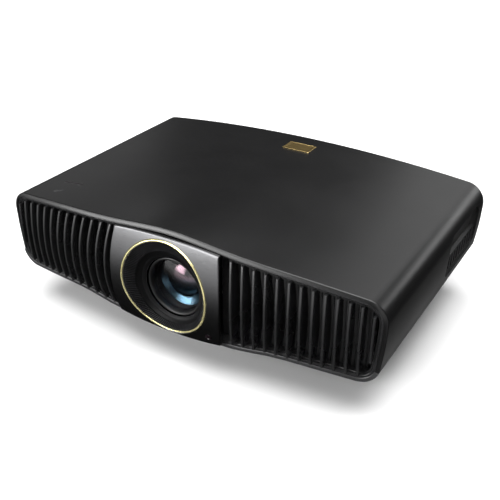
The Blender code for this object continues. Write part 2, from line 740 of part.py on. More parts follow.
def lens():
    origin = (0, LENS_FRONT, LENS_Z)
    tube("focus_ring", "y", AXIS,
         [(LENS_FRONT, FOCUS_R), (-0.1300, FOCUS_R), (-0.1300, RIM_R), (-0.1220, RIM_R)],
         [(LENS_FRONT, 0.0335), (-0.1430, 0.0333), (-0.1300, 0.0333), (-0.1220, 0.0333)],
         MOULDED, origin=origin)
    tube("zoom_ring", "y", AXIS,
         [(-0.1150, 0.0365), (-0.1110, RIM_R), (-0.1030, RIM_R), (-0.1000, 0.0365)],
         [(-0.1150, 0.0333), (-0.1110, 0.0333), (-0.1030, 0.0333), (-0.1000, 0.0333)],
         MOULDED, origin=(0, -0.1150, LENS_Z))
    tube("lens_barrel", "y", AXIS,
         [(-0.1215, 0.0330), (-0.0820, 0.0330), (-0.0820, 0.0385), (-0.0773, 0.0385),
          (-0.0773, 0.0300), (-0.0560, 0.0300)],
         [(-0.1215, 0.0310), (-0.0820, 0.0290), (-0.0800, 0.0285), (-0.0773, 0.0280),
          (-0.0700, 0.0280), (-0.0560, 0.0280)], ALLOY)
    dome = [(-0.1405 - 0.0052 * math.cos(a), 0.0330 * math.sin(a))
            for a in (math.radians(d) for d in (12, 30, 50, 70, 90))]
    turned("front_lens", "y", AXIS, dome + [(-0.1370, 0.0330), (-0.1345, 0.0180)], GLASS,
           origin=(0, -0.1405, LENS_Z))
    for name, degrees, front, back in (("focus", 38, -0.1300, -0.1220),
                                       ("zoom", 142, -0.1110, -0.1030)):
        place = drive_place(degrees)
        turned(name + "_pinion", "y", place, [(front, PINION_R), (back, PINION_R)], STEEL, 16,
               origin=(place[0], front, place[1]))
        turned(name + "_motor", "y", place,
               [(back + GAP, 0.0075), (-0.0774, 0.0075)], STEEL, 16)


def lens_shift():
    holed_plate("lens_mount_plate", (-0.072, 0.044), (0.072, 0.142), (-0.0662, -0.0622),
                (0, LENS_Z, 0.0372), ALLOY)
    screw_x, screw_y = 0.0800, -0.0695
    carriage = holed_plate("vertical_carriage", (-0.0700, 0.0500), (0.0715, 0.1335),
                           (-0.0718, -0.0678), (0, LENS_Z, 0.0340), ALLOY)
    join(carriage, boxes("vertical_nut", [((0.0700, -0.0745, 0.088), (0.087, -0.0668, 0.097))], ALLOY))
    bm = bmesh.new()
    add_stack(bm, [circle("z", z, (screw_x, screw_y), 0.0028, 16) for z in (0.08, 0.11)])
    cut(carriage, finish("vertical_nut_bore", bm, STEEL))
    turned("vertical_screw", "z", (screw_x, screw_y), [(0.0640, 0.0023), (0.1200, 0.0023)],
           STEEL, 16, origin=(screw_x, screw_y, 0.064))
    turned("vertical_motor", "z", (screw_x, screw_y), [(0.0440, 0.0075), (0.0637, 0.0075)],
           STEEL, 20)
    slide_y, slide_z = -0.0750, 0.1400
    plate = holed_plate("horizontal_carriage", (-0.0600, 0.0530), (0.0600, 0.1330),
                        (-0.0770, -0.0730), (0, LENS_Z, 0.0303), ALLOY)
    join(plate, boxes("horizontal_nut", [((-0.006, -0.0785, 0.1321), (0.006, -0.0726, 0.1440))], ALLOY))
    bm = bmesh.new()
    add_stack(bm, [circle("x", x, (slide_y, slide_z), 0.0024, 16) for x in (-0.02, 0.02)])
    cut(plate, finish("horizontal_nut_bore", bm, STEEL))
    turned("horizontal_screw", "x", (slide_y, slide_z), [(-0.0240, 0.0019), (0.0300, 0.0019)],
           STEEL, 16, origin=(-0.024, slide_y, slide_z))
    turned("horizontal_motor", "x", (slide_y, slide_z), [(0.0303, 0.0060), (0.0480, 0.0060)],
           STEEL, 20)


# ---- light engine, electronics and cooling ------------------------------------------------
def comb(name, low, high, plates, kind):
    """A heat sink: a base slab with upright plates along X."""
    thick = 0.0012
    base = boxes(name, [(low, (high[0], high[1], low[2] + 0.006))], kind)
    step = (high[0] - low[0] - thick) / (plates - 1)
    fins = []
    for i in range(plates):
        x = low[0] + step * i
        fins.append(((x, low[1], low[2] + 0.003), (x + thick, high[1], high[2])))
    bm = bmesh.new()
    for a, b in fins:
        add_box(bm, (a[0] + 0.0001 * (a[0] == low[0]), a[1] + 0.0002, a[2]), (b[0], b[1] - 0.0002, b[2]))
    join(base, finish(name + "_plates", bm, kind, smooth=False))


def engine():
    housing = boxes("light_engine_housing", [((-0.058, -0.0550, 0.044), (0.070, 0.0600, 0.128))], ALLOY)
    cavity = [((-0.054, -0.0510, 0.048), (0.066, 0.0560, 0.140)),
              ((-0.026, -0.0600, LENS_Z - 0.020), (0.026, -0.0450, LENS_Z + 0.020)),
              ((-0.062, 0.0180, LENS_Z - 0.012), (-0.050, 0.0420, LENS_Z + 0.012))]
    tool = boxes("engine_cavity", cavity[:1], ALLOY)
    cut(housing, tool)
    cut(housing, boxes("engine_windows", cavity[1:], ALLOY))
    boxes("mirror_chip_board", [((0.0030, 0.0400, 0.060), (0.0600, 0.0416, 0.120))], BOARD)
    boxes("laser_module", [((-0.040, 0.0606, 0.060), (0.046, 0.0900, 0.112))], STEEL)
    comb("laser_heatsink", (0.112, -0.030, 0.050), (0.215, 0.075, 0.125), 14, ALLOY)
    wheel_x, wheel_y = -0.0660, 0.030
    steps = [(wheel_x - 0.014, 0.0095), (wheel_x - 0.0008, 0.0095), (wheel_x - 0.0008, 0.0250),
             (wheel_x + 0.0008, 0.0250), (wheel_x + 0.0008, 0.0060), (wheel_x + 0.004, 0.0060)]
    turned("phosphor_wheel", "x", (wheel_y, LENS_Z), steps, STEEL, 32,
           origin=(wheel_x, wheel_y, LENS_Z))


def electronics():
    board = boxes("main_board", [((-0.190, 0.0950, 0.0772), (0.040, 0.1640, 0.0788))], BOARD)
    chips = [((-0.110, 0.105, 0.078), (-0.070, 0.135, 0.083)), ((-0.030, 0.105, 0.078), (0.0, 0.130, 0.082)),
             ((-0.170, 0.105, 0.078), (-0.135, 0.125, 0.086))]
    join(board, boxes("board_chips", chips, BOARD))
    supply = boxes("power_supply", [((-0.196, 0.000, 0.0360), (-0.086, 0.110, 0.0378))], BOARD)
    blocks = [((-0.190, 0.010, 0.037), (-0.155, 0.055, 0.066)), ((-0.145, 0.012, 0.037), (-0.105, 0.050, 0.060)),
              ((-0.190, 0.065, 0.037), (-0.130, 0.080, 0.070)), ((-0.120, 0.060, 0.037), (-0.092, 0.100, 0.058))]
    join(supply, boxes("supply_blocks", blocks, BOARD))


FAN_Y = (-0.1300, -0.1080)


def fan(side_name, x):
    z, half, bore = 0.0945, 0.040, 0.0378
    frame = holed_plate(side_name + "_fan_frame", (x - half, z - half), (x + half, z + half), FAN_Y,
                        (x, z, bore), MOULDED)
    spider = [((x - 0.0390, FAN_Y[1] - 0.003, z - 0.0015), (x + 0.0390, FAN_Y[1] - 0.0005, z + 0.0015)),
              ((x - 0.0015, FAN_Y[1] - 0.0028, z - 0.0390), (x + 0.0015, FAN_Y[1] - 0.0007, z + 0.0390))]
    join(frame, boxes(side_name + "_fan_bar", spider[:1], MOULDED))
    join(frame, boxes(side_name + "_fan_strut", spider[1:], MOULDED))
    blades, hub, tip, twist = 7, 0.0155, 0.0360, 0.55
    loops = []
    front, back = FAN_Y[0] + 0.002, FAN_Y[1] - 0.0045
    for k in range(4):
        y = front + (back - front) * k / 3
        loop = []
        for b in range(blades):
            base = math.tau * b / blades + twist * k / 3
            for share, radius in ((0.0, hub), (0.06, tip), (0.30, tip), (0.36, hub), (0.68, hub)):
                turn = base + share * math.tau / blades
                loop.append((x + radius * math.cos(turn), y, z + radius * math.sin(turn)))
        loops.append(loop)
    stack(side_name + "_fan_rotor", loops, MOULDED, origin=(x, front, z))


def build():
    top_cover()
    bottom_case()
    feet()
    front_bezel()
    grille("left_grille", -1)
    grille("right_grille", 1)
    lens_panel()
    ir_window()
    lens_trim_ring()
    lens_cone()
    rear_panel()
    sockets()
    right_side_vent()
    keypad()
    status_window()
    top_badge()
    lens()
    lens_shift()
    engine()
    electronics()
    fan("intake", -0.135)
    fan("exhaust", 0.135)


build()
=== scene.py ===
"""Home cinema projector, finished to look like the real thing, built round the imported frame."""
import math

import bpy
from mathutils import Matrix, Vector


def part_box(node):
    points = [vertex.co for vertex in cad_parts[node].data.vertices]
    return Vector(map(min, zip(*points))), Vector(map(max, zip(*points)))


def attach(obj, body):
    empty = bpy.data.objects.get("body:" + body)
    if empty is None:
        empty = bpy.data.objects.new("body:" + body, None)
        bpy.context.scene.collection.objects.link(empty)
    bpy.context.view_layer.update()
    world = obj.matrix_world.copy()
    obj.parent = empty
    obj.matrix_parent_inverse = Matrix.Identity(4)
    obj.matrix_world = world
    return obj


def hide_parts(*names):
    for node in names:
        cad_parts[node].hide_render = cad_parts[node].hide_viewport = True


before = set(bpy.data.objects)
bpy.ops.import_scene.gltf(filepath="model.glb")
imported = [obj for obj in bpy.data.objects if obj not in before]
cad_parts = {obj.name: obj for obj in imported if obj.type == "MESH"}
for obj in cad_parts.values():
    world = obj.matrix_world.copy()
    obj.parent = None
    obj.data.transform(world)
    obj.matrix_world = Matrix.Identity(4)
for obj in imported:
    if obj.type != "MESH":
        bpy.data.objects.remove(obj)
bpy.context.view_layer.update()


# ---- bottom case ---------------------------------------------------------------------------
# The moulded tub that all the works are screwed into: black ABS with a fine spark-eroded grain.
# Its rim meets the top cover low on the sides, and its middle drops to a flat base.
HALF, REAR = 0.2455, 0.1705
LIP, LIP_SWEEP = -0.1549, 0.016
CROWN, CROWN_RISE, HUMP_RISE, HUMP_WIDE = 0.1472, 0.0146, 0.0068, 0.0641
UNDERSIDE, DIP, DIP_HALF, DIP_EASE = 0.0511, 0.0085, 0.1053, 0.0125
SHOULDER, TUCK, WAIST, SIDE_TOP, SIDE_FALL = 0.022, 0.024, 0.073, 0.1252, 0.0036
PARTING = 22             # the outline's point where cover and bottom case meet
WALL, GAP = 0.003, 0.0003


def lip_y(x):
    return LIP + LIP_SWEEP * (x / HALF) ** 2


def crown_z(x, hump=0.0):
    """Height of the top: a shallow crown, with a hump over the lens that fades to the rear."""
    return CROWN + CROWN_RISE * (1 - (x / HALF) ** 2) + hump * HUMP_RISE * math.exp(-(x / HUMP_WIDE) ** 2)


def under_z(x):
    """Height of the case's lower edge, which dips in the middle."""
    return UNDERSIDE - DIP / (1 + math.exp((abs(x) - DIP_HALF) / DIP_EASE))


def side_x(z):
    fall = max(0.0, min(1.0, (SIDE_TOP - z) / (SIDE_TOP - WAIST)))
    return HALF - SIDE_FALL * fall ** 2


def casing_section(hump=0.0, inset=0.0, fine=1):
    """Right half of the casing's outline, from the top's middle round to the base's middle."""
    flat = HALF - SHOULDER
    line = [(flat * i / (12 * fine), crown_z(flat * i / (12 * fine), hump)) for i in range(12 * fine + 1)]
    for i in range(1, 6 * fine + 1):
        turn = math.pi / 2 * i / (6 * fine)
        x = flat + SHOULDER * math.sin(turn)
        line.append((x, crown_z(x, hump) - SHOULDER * (1 - math.cos(turn))))
    foot = line[-1][1]
    line += [(side_x(z), z) for z in (foot + (WAIST - foot) * i / (3 * fine)
                                      for i in range(1, 3 * fine + 1))]
    inner = line[-1][0] - TUCK
    for i in range(1, 6 * fine + 1):
        turn = math.pi / 2 * i / (6 * fine)
        line.append((inner + TUCK * math.cos(turn), WAIST - (WAIST - under_z(inner)) * math.sin(turn)))
    across = (inner, 0.2, 0.16, 0.12, 0.09, 0.06, 0.03, 0)
    for a, b in zip(across, across[1:]):
        line += [(x, under_z(x)) for x in (a + (b - a) * k / fine for k in range(1, fine + 1))]
    moved = []
    for i, (x, z) in enumerate(line):
        before = line[i - 1] if i else (-line[1][0], line[1][1])
        after = line[i + 1] if i + 1 < len(line) else (-line[-2][0], line[-2][1])
        run = Vector((after[0] - before[0], after[1] - before[1])).normalized()
        moved.append((x + run.y * inset, z - run.x * inset))
    return moved


def mirror_line(points):
    return [(-x, z) for x, z in reversed(points[1:])] + points


def sheet(name, across, along, place, ring=False, loop=False):
    """A grid pulled to shape vertex by vertex; ring and loop close it across and along."""
    bpy.ops.object.select_all(action="DESELECT")
    bpy.ops.mesh.primitive_grid_add(x_subdivisions=across, y_subdivisions=along, size=2)
    made = bpy.context.object
    made.name = made.data.name = name
    for vertex in made.data.vertices:
        i = round((vertex.co.x + 1) / 2 * across)
        j = round((vertex.co.y + 1) / 2 * along)
        vertex.co = place(i % across if ring else i, j % along if loop else j)
    bpy.ops.object.mode_set(mode="EDIT")
    bpy.ops.mesh.select_all(action="SELECT")
    bpy.ops.mesh.remove_doubles(threshold=0.00002)
    if loop != ring:
        bpy.ops.mesh.select_all(action="DESELECT")
        bpy.ops.mesh.select_non_manifold()
        bpy.ops.mesh.edge_face_add()
    bpy.ops.mesh.select_all(action="SELECT")
    bpy.ops.mesh.normals_make_consistent(inside=False)
    bpy.ops.object.mode_set(mode="OBJECT")
    return made


def soften(made, angle=30):
    bpy.ops.object.select_all(action="DESELECT")
    bpy.context.view_layer.objects.active = made
    made.select_set(True)
    bpy.ops.object.shade_smooth_by_angle(angle=math.radians(angle))
    return made


def apply_modifier(made, kind, **settings):
    bpy.ops.object.select_all(action="DESELECT")
    bpy.context.view_layer.objects.active = made
    made.select_set(True)
    step = made.modifiers.new(kind.lower(), kind)
    for key, value in settings.items():
        setattr(step, key, value)
    bpy.ops.object.modifier_apply(modifier=step.name)
    return made


def cut_with(made, tool):
    apply_modifier(made, "BOOLEAN", object=tool, operation="DIFFERENCE", solver="EXACT")
    bpy.data.objects.remove(tool)
    return made


def fit(made, body, slot, finish, *nodes):
    """Puts the finish on, and fixes the piece to its body in place of the CAD nodes."""
    made.data.materials.clear()
    made.data.materials.append(finish)
    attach(made, body)
    if nodes:
        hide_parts(*nodes)
    return made


def feed(tree, node, inputs):
    """Gives each named input of a node its value, or a link from another node's output."""
    for key, value in inputs.items():
        if isinstance(value, bpy.types.NodeSocket):
            tree.links.new(value, node.inputs[key])
        else:
            node.inputs[key].default_value = value


def add_node(tree, kind, inputs=None, **settings):
    made = tree.nodes.new("ShaderNode" + kind)
    for key, value in settings.items():
        setattr(made, key, value)
    feed(tree, made, inputs or {})
    return made


def start_group(name, inputs, outputs):
    tree = bpy.data.node_groups.new(name, "ShaderNodeTree")
    for label, kind, value in inputs:
        socket = tree.interface.new_socket(name=label, in_out="INPUT", socket_type="NodeSocket" + kind)
        socket.default_value = value
    for label, kind in outputs:
        tree.interface.new_socket(name=label, in_out="OUTPUT", socket_type="NodeSocket" + kind)
    return tree, tree.nodes.new("NodeGroupInput").outputs, tree.nodes.new("NodeGroupOutput").inputs


def moulded_grain_group():
    """Fine mould texture, with colour and gloss that wander a little from place to place."""
    tree, given, result = start_group(
        "moulded_grain",
        [("Colour", "Color", (0.02, 0.02, 0.02, 1)), ("Roughness", "Float", 0.4),
         ("Grain Scale", "Float", 1400.0), ("Mottle", "Float", 0.12), ("Dust", "Float", 0.03)],
        [("Colour", "Color"), ("Roughness", "Float"), ("Height", "Float")])
    place = add_node(tree, "TexCoord").outputs["Object"]
    grain = add_node(tree, "TexNoise", {"Vector": place, "Scale": given["Grain Scale"], "Detail": 2.0})
    cloud = add_node(tree, "TexNoise", {"Vector": place, "Scale": 16.0, "Detail": 3.0})
    swing = add_node(tree, "MapRange", {"Value": cloud.outputs["Fac"], "From Min": 0.3, "From Max": 0.7,
                                        "To Min": -1.0, "To Max": 1.0})
    share = add_node(tree, "Math", {0: swing.outputs["Result"], 1: given["Mottle"]}, operation="MULTIPLY")
    lift = add_node(tree, "Math", {0: share.outputs[0], 1: 1.0}, operation="ADD")
    tone = add_node(tree, "VectorMath", {0: given["Colour"], "Scale": lift.outputs[0]}, operation="SCALE")
    upward = add_node(tree, "SeparateXYZ", {0: add_node(tree, "NewGeometry").outputs["Normal"]})
    specks = add_node(tree, "TexNoise", {"Vector": place, "Scale": 260.0, "Detail": 6.0, "Roughness": 0.7})
    settled = add_node(tree, "MapRange", {"Value": specks.outputs["Fac"], "From Min": 0.45, "From Max": 0.8})
    facing = add_node(tree, "MapRange", {"Value": upward.outputs["Z"], "From Min": 0.5, "From Max": 1.0})
    dusty = add_node(tree, "Math", {0: settled.outputs["Result"], 1: facing.outputs["Result"]},
                     operation="MULTIPLY")
    amount = add_node(tree, "Math", {0: dusty.outputs[0], 1: given["Dust"]}, operation="MULTIPLY")
    mixed = add_node(tree, "Mix", {"Factor": amount.outputs[0], "A": tone.outputs[0],
                                   "B": (0.30, 0.29, 0.28, 1)}, data_type="RGBA")
    tree.links.new(mixed.outputs["Result"], result["Colour"])
    rough = add_node(tree, "Math", {0: share.outputs[0], 1: 0.35, 2: given["Roughness"]},
                     operation="MULTIPLY_ADD")
    tree.links.new(rough.outputs[0], result["Roughness"])
    tree.links.new(grain.outputs["Fac"], result["Height"])
    return tree


def edge_wear_and_highlight_group():
    """Mask of the sharp edges, lightened: rubbed bright on most parts, and a painted highlight on the lens
    cone's ribs.
    """
    tree, given, result = start_group(
        "edge_wear_and_highlight", [("Amount", "Float", 0.3), ("Start", "Float", 0.54)], [("Mask", "Float")])
    place = add_node(tree, "TexCoord").outputs["Object"]
    bend = add_node(tree, "NewGeometry").outputs["Pointiness"]
    patch = add_node(tree, "TexNoise", {"Vector": place, "Scale": 90.0, "Detail": 4.0})
    edge = add_node(tree, "MapRange", {"Value": bend, "From Min": given["Start"], "From Max": 0.62})
    broken = add_node(tree, "Math", {0: edge.outputs["Result"], 1: patch.outputs["Fac"]},
                      operation="MULTIPLY")
    worn_and_lit = add_node(tree, "Math", {0: broken.outputs[0], 1: given["Amount"]}, operation="MULTIPLY")
    tree.links.new(worn_and_lit.outputs[0], result["Mask"])
    return tree


moulded_grain = moulded_grain_group()
edge_wear_and_highlight = edge_wear_and_highlight_group()


def use_group(tree, group, inputs):
    return add_node(tree, "Group", inputs, node_tree=group).outputs


def shader_of(name):
    made = bpy.data.materials.new(name)
    made.use_nodes = True
    return made, made.node_tree, made.node_tree.nodes["Principled BSDF"]


def moulded(name, colour, roughness, grain=1400.0, bump=0.00003, mottle=0.12, dust=0.02, wear_and_highlight=0.25,
            worn_and_lit=(0.07, 0.07, 0.072, 1), ior=1.5):
    """A moulded plastic or rubber: grain, slight mottling, dust on top, and lighter edges that are rubbed on
    most parts and a painted highlight on the lens cone's ribs.
    """
    made, tree, shader = shader_of(name)
    grainy = use_group(tree, moulded_grain, {"Colour": (*colour, 1), "Roughness": roughness,
                                             "Grain Scale": grain, "Mottle": mottle, "Dust": dust})
    rubbed_and_lit = use_group(tree, edge_wear_and_highlight, {"Amount": wear_and_highlight})["Mask"]
    tone = add_node(tree, "Mix", {"Factor": rubbed_and_lit, "A": grainy["Colour"], "B": worn_and_lit}, data_type="RGBA")
    rise = add_node(tree, "Bump", {"Height": grainy["Height"], "Strength": 1.0, "Distance": bump})
    feed(tree, shader, {"Base Color": tone.outputs["Result"], "Roughness": grainy["Roughness"],
                        "Normal": rise.outputs["Normal"], "IOR": ior})
    return made


case_black = moulded("case_black", (0.022, 0.022, 0.023), 0.42, grain=1500.0, bump=0.00002)

FINE = 2
FIRST = PARTING * FINE
BASE_LEVEL, BASE_HALF, BASE_SLOPE = 0.014, 0.2179, 0.0179


def hull_point(x0, z0, x, z, y):
    """Drops the slab's underside to the flat base, well inside the front, rear and sides."""
    across = max(0.0, min(1.0, (BASE_HALF - abs(x0)) / BASE_SLOPE))
    run = max(0.0, min(1.0, (y - lip_y(x0) - 0.010) / 0.040, (REAR - 0.008 - y) / 0.022))
    return (x, y, z + (BASE_LEVEL - z0) * across * run)


outer_half = casing_section(0.0, 0.0, FINE)[FIRST:]
inner_half = casing_section(0.0, WALL, FINE)[FIRST:]
thick_half = casing_section(0.0, 0.0048, FINE)[FIRST:]


def both_sides(half):
    return half + [(-x, z) for x, z in reversed(half[:-1])]


OUTER, INNER, THICK = both_sides(outer_half), both_sides(inner_half), both_sides(thick_half)
BACKS = [0.0008, 0.0030, 0.0062, 0.010, 0.016, 0.023, 0.030, 0.037, 0.044, 0.050]
hull_rows = [("in", None, REAR)]
hull_rows += [("in", None, y) for y in (0.1625, 0.155, 0.148, 0.1405, 0.08, 0.0, -0.06)]
hull_rows += [("in", b, None) for b in (0.050, 0.030, 0.010, 0.0062)] + [("thick", 0.0060, None)]
hull_rows += [("thick", 0.0005, None), ("edge", 0.0, None), ("face", 0.0, None), ("out", 0.0006, None)]
hull_rows += [("out", b, None) for b in BACKS[1:]]
hull_rows += [("out", None, y) for y in (-0.06, 0.0, 0.08, 0.1405, 0.148, 0.155, 0.1625, REAR - 0.0006)]
hull_rows += [("rim", None, REAR)]


def hull_place(i, j):
    side, back, y = hull_rows[j]
    x0, z0 = OUTER[i]
    line, part = {"in": (INNER, 1.0), "out": (INNER, 0.0), "rim": (INNER, 0.15),
                  "thick": (THICK, 1.0), "edge": (THICK, 0.86), "face": (THICK, 0.12)}[side]
    x1, z1 = line[i]
    x, z = x0 + (x1 - x0) * part, z0 + (z1 - z0) * part
    return hull_point(x0, z0, x, z, lip_y(x0) + back if y is None else y)


bottom_shell = sheet("bottom_shell", len(OUTER) - 1, len(hull_rows), hull_place, loop=True)


def block(name, low, high, bevel=0.0, segments=2):
    """A rounded block between two corners, bevelled in edit mode."""
    bpy.ops.object.select_all(action="DESELECT")
    middle = [(a + b) / 2 for a, b in zip(low, high)]
    bpy.ops.mesh.primitive_cube_add(size=1, location=middle)
    made = bpy.context.object
    made.name = made.data.name = name
    made.scale = [b - a for a, b in zip(low, high)]
    bpy.ops.object.transform_apply(location=True, rotation=True, scale=True)
    if bevel:
        bpy.ops.object.mode_set(mode="EDIT")
        bpy.ops.mesh.select_all(action="SELECT")
        bpy.ops.mesh.bevel(offset=bevel, segments=segments, affect="EDGES")
        bpy.ops.object.mode_set(mode="OBJECT")
    return made


cut_with(bottom_shell, block("cone_notch", (-0.028, LIP - 0.01, 0.0478), (0.028, LIP + 0.016, 0.060)))
soften(bottom_shell)
fit(bottom_shell, "casing", "casing", case_black, "bottom_case")

# ---- feet ----------------------------------------------------------------------------------
# Four screw feet, each moulded in hard black rubber: a ribbed pad on a threaded stem, which
# turns up into the bottom case to level the projector.
rubber_black = moulded("rubber_black", (0.018, 0.018, 0.018), 0.75, grain=600.0, bump=0.00006,
                       mottle=0.2, dust=0.12, wear_and_highlight=0.1)


def lathe(name, steps, axis="y", centre=(0.0, 0.0), sides=64, closed=False):
    """A circle extruded ring by ring along an axis: each step is (distance along, radius)."""
    bpy.ops.object.select_all(action="DESELECT")
    first, radius = steps[0]
    bpy.ops.mesh.primitive_circle_add(vertices=sides, radius=1.0)
    made = bpy.context.object
    made.name = made.data.name = name
    bpy.ops.object.mode_set(mode="EDIT")
    bpy.ops.mesh.select_all(action="SELECT")
    bpy.ops.transform.resize(value=(radius, radius, 1), center_override=(0, 0, 0))
    bpy.ops.transform.translate(value=(0, 0, first))
    if not closed:
        bpy.ops.mesh.edge_face_add()
    for along, wide in steps[1:]:
        bpy.ops.mesh.extrude_region_move(TRANSFORM_OT_translate={"value": (0, 0, along - first)})
        bpy.ops.transform.resize(value=(wide / radius, wide / radius, 1), center_override=(0, 0, along))
        first, radius = along, wide
    bpy.ops.object.mode_set(mode="OBJECT")
    turn = {"z": Matrix.Identity(4), "y": Matrix.Rotation(math.radians(-90), 4, "X"),
            "x": Matrix.Rotation(math.radians(90), 4, "Y")}[axis]
    shift = {"z": (centre[0], centre[1], 0), "y": (centre[0], 0, centre[1]), "x": (0, *centre)}[axis]
    made.data.transform(Matrix.Translation(shift) @ turn)
    bpy.ops.object.mode_set(mode="EDIT")
    bpy.ops.mesh.select_all(action="SELECT")
    bpy.ops.mesh.remove_doubles(threshold=0.000004)
    bpy.ops.mesh.normals_make_consistent(inside=False)
    bpy.ops.object.mode_set(mode="OBJECT")
    return made


def join_up(first, *others):
    bpy.ops.object.select_all(action="DESELECT")
    for one in (first, *others):
        one.select_set(True)
    bpy.context.view_layer.objects.active = first
    bpy.ops.object.join()
    return first


FOOT_PLACES = {"front_left": (-0.165, -0.058), "front_right": (0.165, -0.058),
               "rear_left": (-0.165, 0.128), "rear_right": (0.165, 0.128)}
pad_steps = [(0.0, 0.0098), (0.0, 0.0106), (0.0004, 0.0114), (0.0012, 0.0118), (0.0020, 0.0118),
             (0.0022, 0.0115), (0.0025, 0.0115), (0.0027, 0.0118), (0.0035, 0.0118), (0.0037, 0.0115),
             (0.0040, 0.0115), (0.0042, 0.0118), (0.0052, 0.0118), (0.0060, 0.0112), (0.0062, 0.0104),
             (0.0062, 0.0064), (0.0070, 0.0058), (0.0082, 0.0045)]
for k in range(16):
    start = 0.0088 + 0.0015 * k
    pad_steps += [(start, 0.0040), (start + 0.0006, 0.0045), (start + 0.0009, 0.0045)]
pad_steps += [(0.0330, 0.0035)]
for corner, spot in FOOT_PLACES.items():
    foot = soften(lathe("foot_pad_" + corner, pad_steps, "z", spot, 40), 40)
    fit(foot, "foot_" + corner, "rubber", rubber_black, "foot_" + corner)


# ---- circuit boards, power supply and chip board -------------------------------------------
# Green-black glass-fibre boards with copper tracks under the lacquer and solder points, screwed
# to posts in the bottom case. The blocks on them are coils, capacitors and shielded chips.
def board_finish():
    made, tree, shader = shader_of("board_green")
    place = add_node(tree, "TexCoord").outputs["Object"]
    tracks = add_node(tree, "TexBrick", {"Vector": place, "Scale": 210.0, "Color1": (0.010, 0.055, 0.028, 1),
                                         "Color2": (0.014, 0.080, 0.038, 1), "Mortar": (0.05, 0.12, 0.05, 1),
                                         "Mortar Size": 0.012})
    pads = add_node(tree, "TexVoronoi", {"Vector": place, "Scale": 260.0})
    solder = add_node(tree, "MapRange", {"Value": pads.outputs["Distance"], "From Min": 0.22,
                                         "From Max": 0.17})
    tone = add_node(tree, "Mix", {"Factor": solder.outputs["Result"], "A": tracks.outputs["Color"],
                                  "B": (0.55, 0.53, 0.48, 1)}, data_type="RGBA")
    rough = add_node(tree, "MapRange", {"Value": solder.outputs["Result"], "To Min": 0.32, "To Max": 0.25})
    rise = add_node(tree, "Bump", {"Height": tracks.outputs["Fac"], "Strength": 0.6, "Distance": 0.00004})
    feed(tree, shader, {"Base Color": tone.outputs["Result"], "Metallic": solder.outputs["Result"],
                        "Roughness": rough.outputs["Result"], "Normal": rise.outputs["Normal"]})
    return made


def coat_node(name, finish):
    """A CAD part that keeps its own shape and only takes a finish."""
    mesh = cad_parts[name].data
    mesh.materials.clear()
    mesh.materials.append(finish)


board_green = board_finish()
for name in ("main_board", "power_supply", "mirror_chip_board", "keypad_board"):
    coat_node(name, board_green)


# ---- light engine, laser module, heat sink and phosphor wheel ------------------------------
# A cast aluminium tray that holds the mirror chip; a steel laser module is screwed to its back,
# and a finned sink beside it carries the heat off. The wheel is a coated disc on a small motor.
def brushed_group():
    """Long fine scratches along X, as left by a belt."""
    tree, given, result = start_group(
        "brushed_lines", [("Along", "Float", 18.0), ("Across", "Float", 2600.0)],
        [("Fac", "Float")])
    place = add_node(tree, "TexCoord").outputs["Object"]
    split = add_node(tree, "SeparateXYZ", {0: place})
    long_way = add_node(tree, "Math", {0: split.outputs["X"], 1: given["Along"]}, operation="MULTIPLY")
    down = add_node(tree, "Math", {0: split.outputs["Z"], 1: given["Across"]}, operation="MULTIPLY")
    deep = add_node(tree, "Math", {0: split.outputs["Y"], 1: given["Across"]}, operation="MULTIPLY")
    drawn = add_node(tree, "CombineXYZ", {"X": long_way.outputs[0], "Y": deep.outputs[0],
                                          "Z": down.outputs[0]})
    lines = add_node(tree, "TexNoise", {"Vector": drawn.outputs[0], "Scale": 1.0, "Detail": 3.0})
    tree.links.new(lines.outputs["Fac"], result["Fac"])
    return tree


brushed_lines = brushed_group()


def metal(name, colour, roughness, along=18.0, across=2600.0, bump=0.00001, spread=0.18, wear_and_highlight=0.4,
          worn_and_lit=(0.9, 0.9, 0.9, 1), tint=0.10, metallic=1.0):
    """A bare or plated metal with drawn lines in its gloss, and brighter rubbed edges."""
    made, tree, shader = shader_of(name)
    lines = use_group(tree, brushed_lines, {"Along": along, "Across": across})["Fac"]
    rubbed_and_lit = use_group(tree, edge_wear_and_highlight, {"Amount": wear_and_highlight})["Mask"]
    swing = add_node(tree, "MapRange", {"Value": lines, "From Min": 0.25, "From Max": 0.75,
                                        "To Min": 1 - tint, "To Max": 1 + tint})
    tone = add_node(tree, "VectorMath", {0: colour, "Scale": swing.outputs["Result"]}, operation="SCALE")
    mixed = add_node(tree, "Mix", {"Factor": rubbed_and_lit, "A": tone.outputs[0], "B": worn_and_lit}, data_type="RGBA")
    rough = add_node(tree, "MapRange", {"Value": lines, "From Min": 0.25, "From Max": 0.75,
                                        "To Min": roughness - spread / 2, "To Max": roughness + spread / 2})
    rise = add_node(tree, "Bump", {"Height": lines, "Strength": 1.0, "Distance": bump})
    feed(tree, shader, {"Base Color": mixed.outputs["Result"], "Roughness": rough.outputs["Result"],
                        "Normal": rise.outputs["Normal"], "Metallic": metallic})
    return made


cast_alloy = metal("cast_alloy", (0.42, 0.42, 0.43), 0.45, along=900.0, across=900.0, bump=0.00004)
plated_steel = metal("plated_steel", (0.52, 0.52, 0.53), 0.28, along=40.0, across=1800.0)
for name in ("light_engine_housing", "laser_heatsink"):
    coat_node(name, cast_alloy)
for name in ("laser_module", "vertical_motor", "horizontal_motor", "focus_motor", "zoom_motor",
             "vertical_screw", "horizontal_screw", "focus_pinion", "zoom_pinion"):
    coat_node(name, plated_steel)


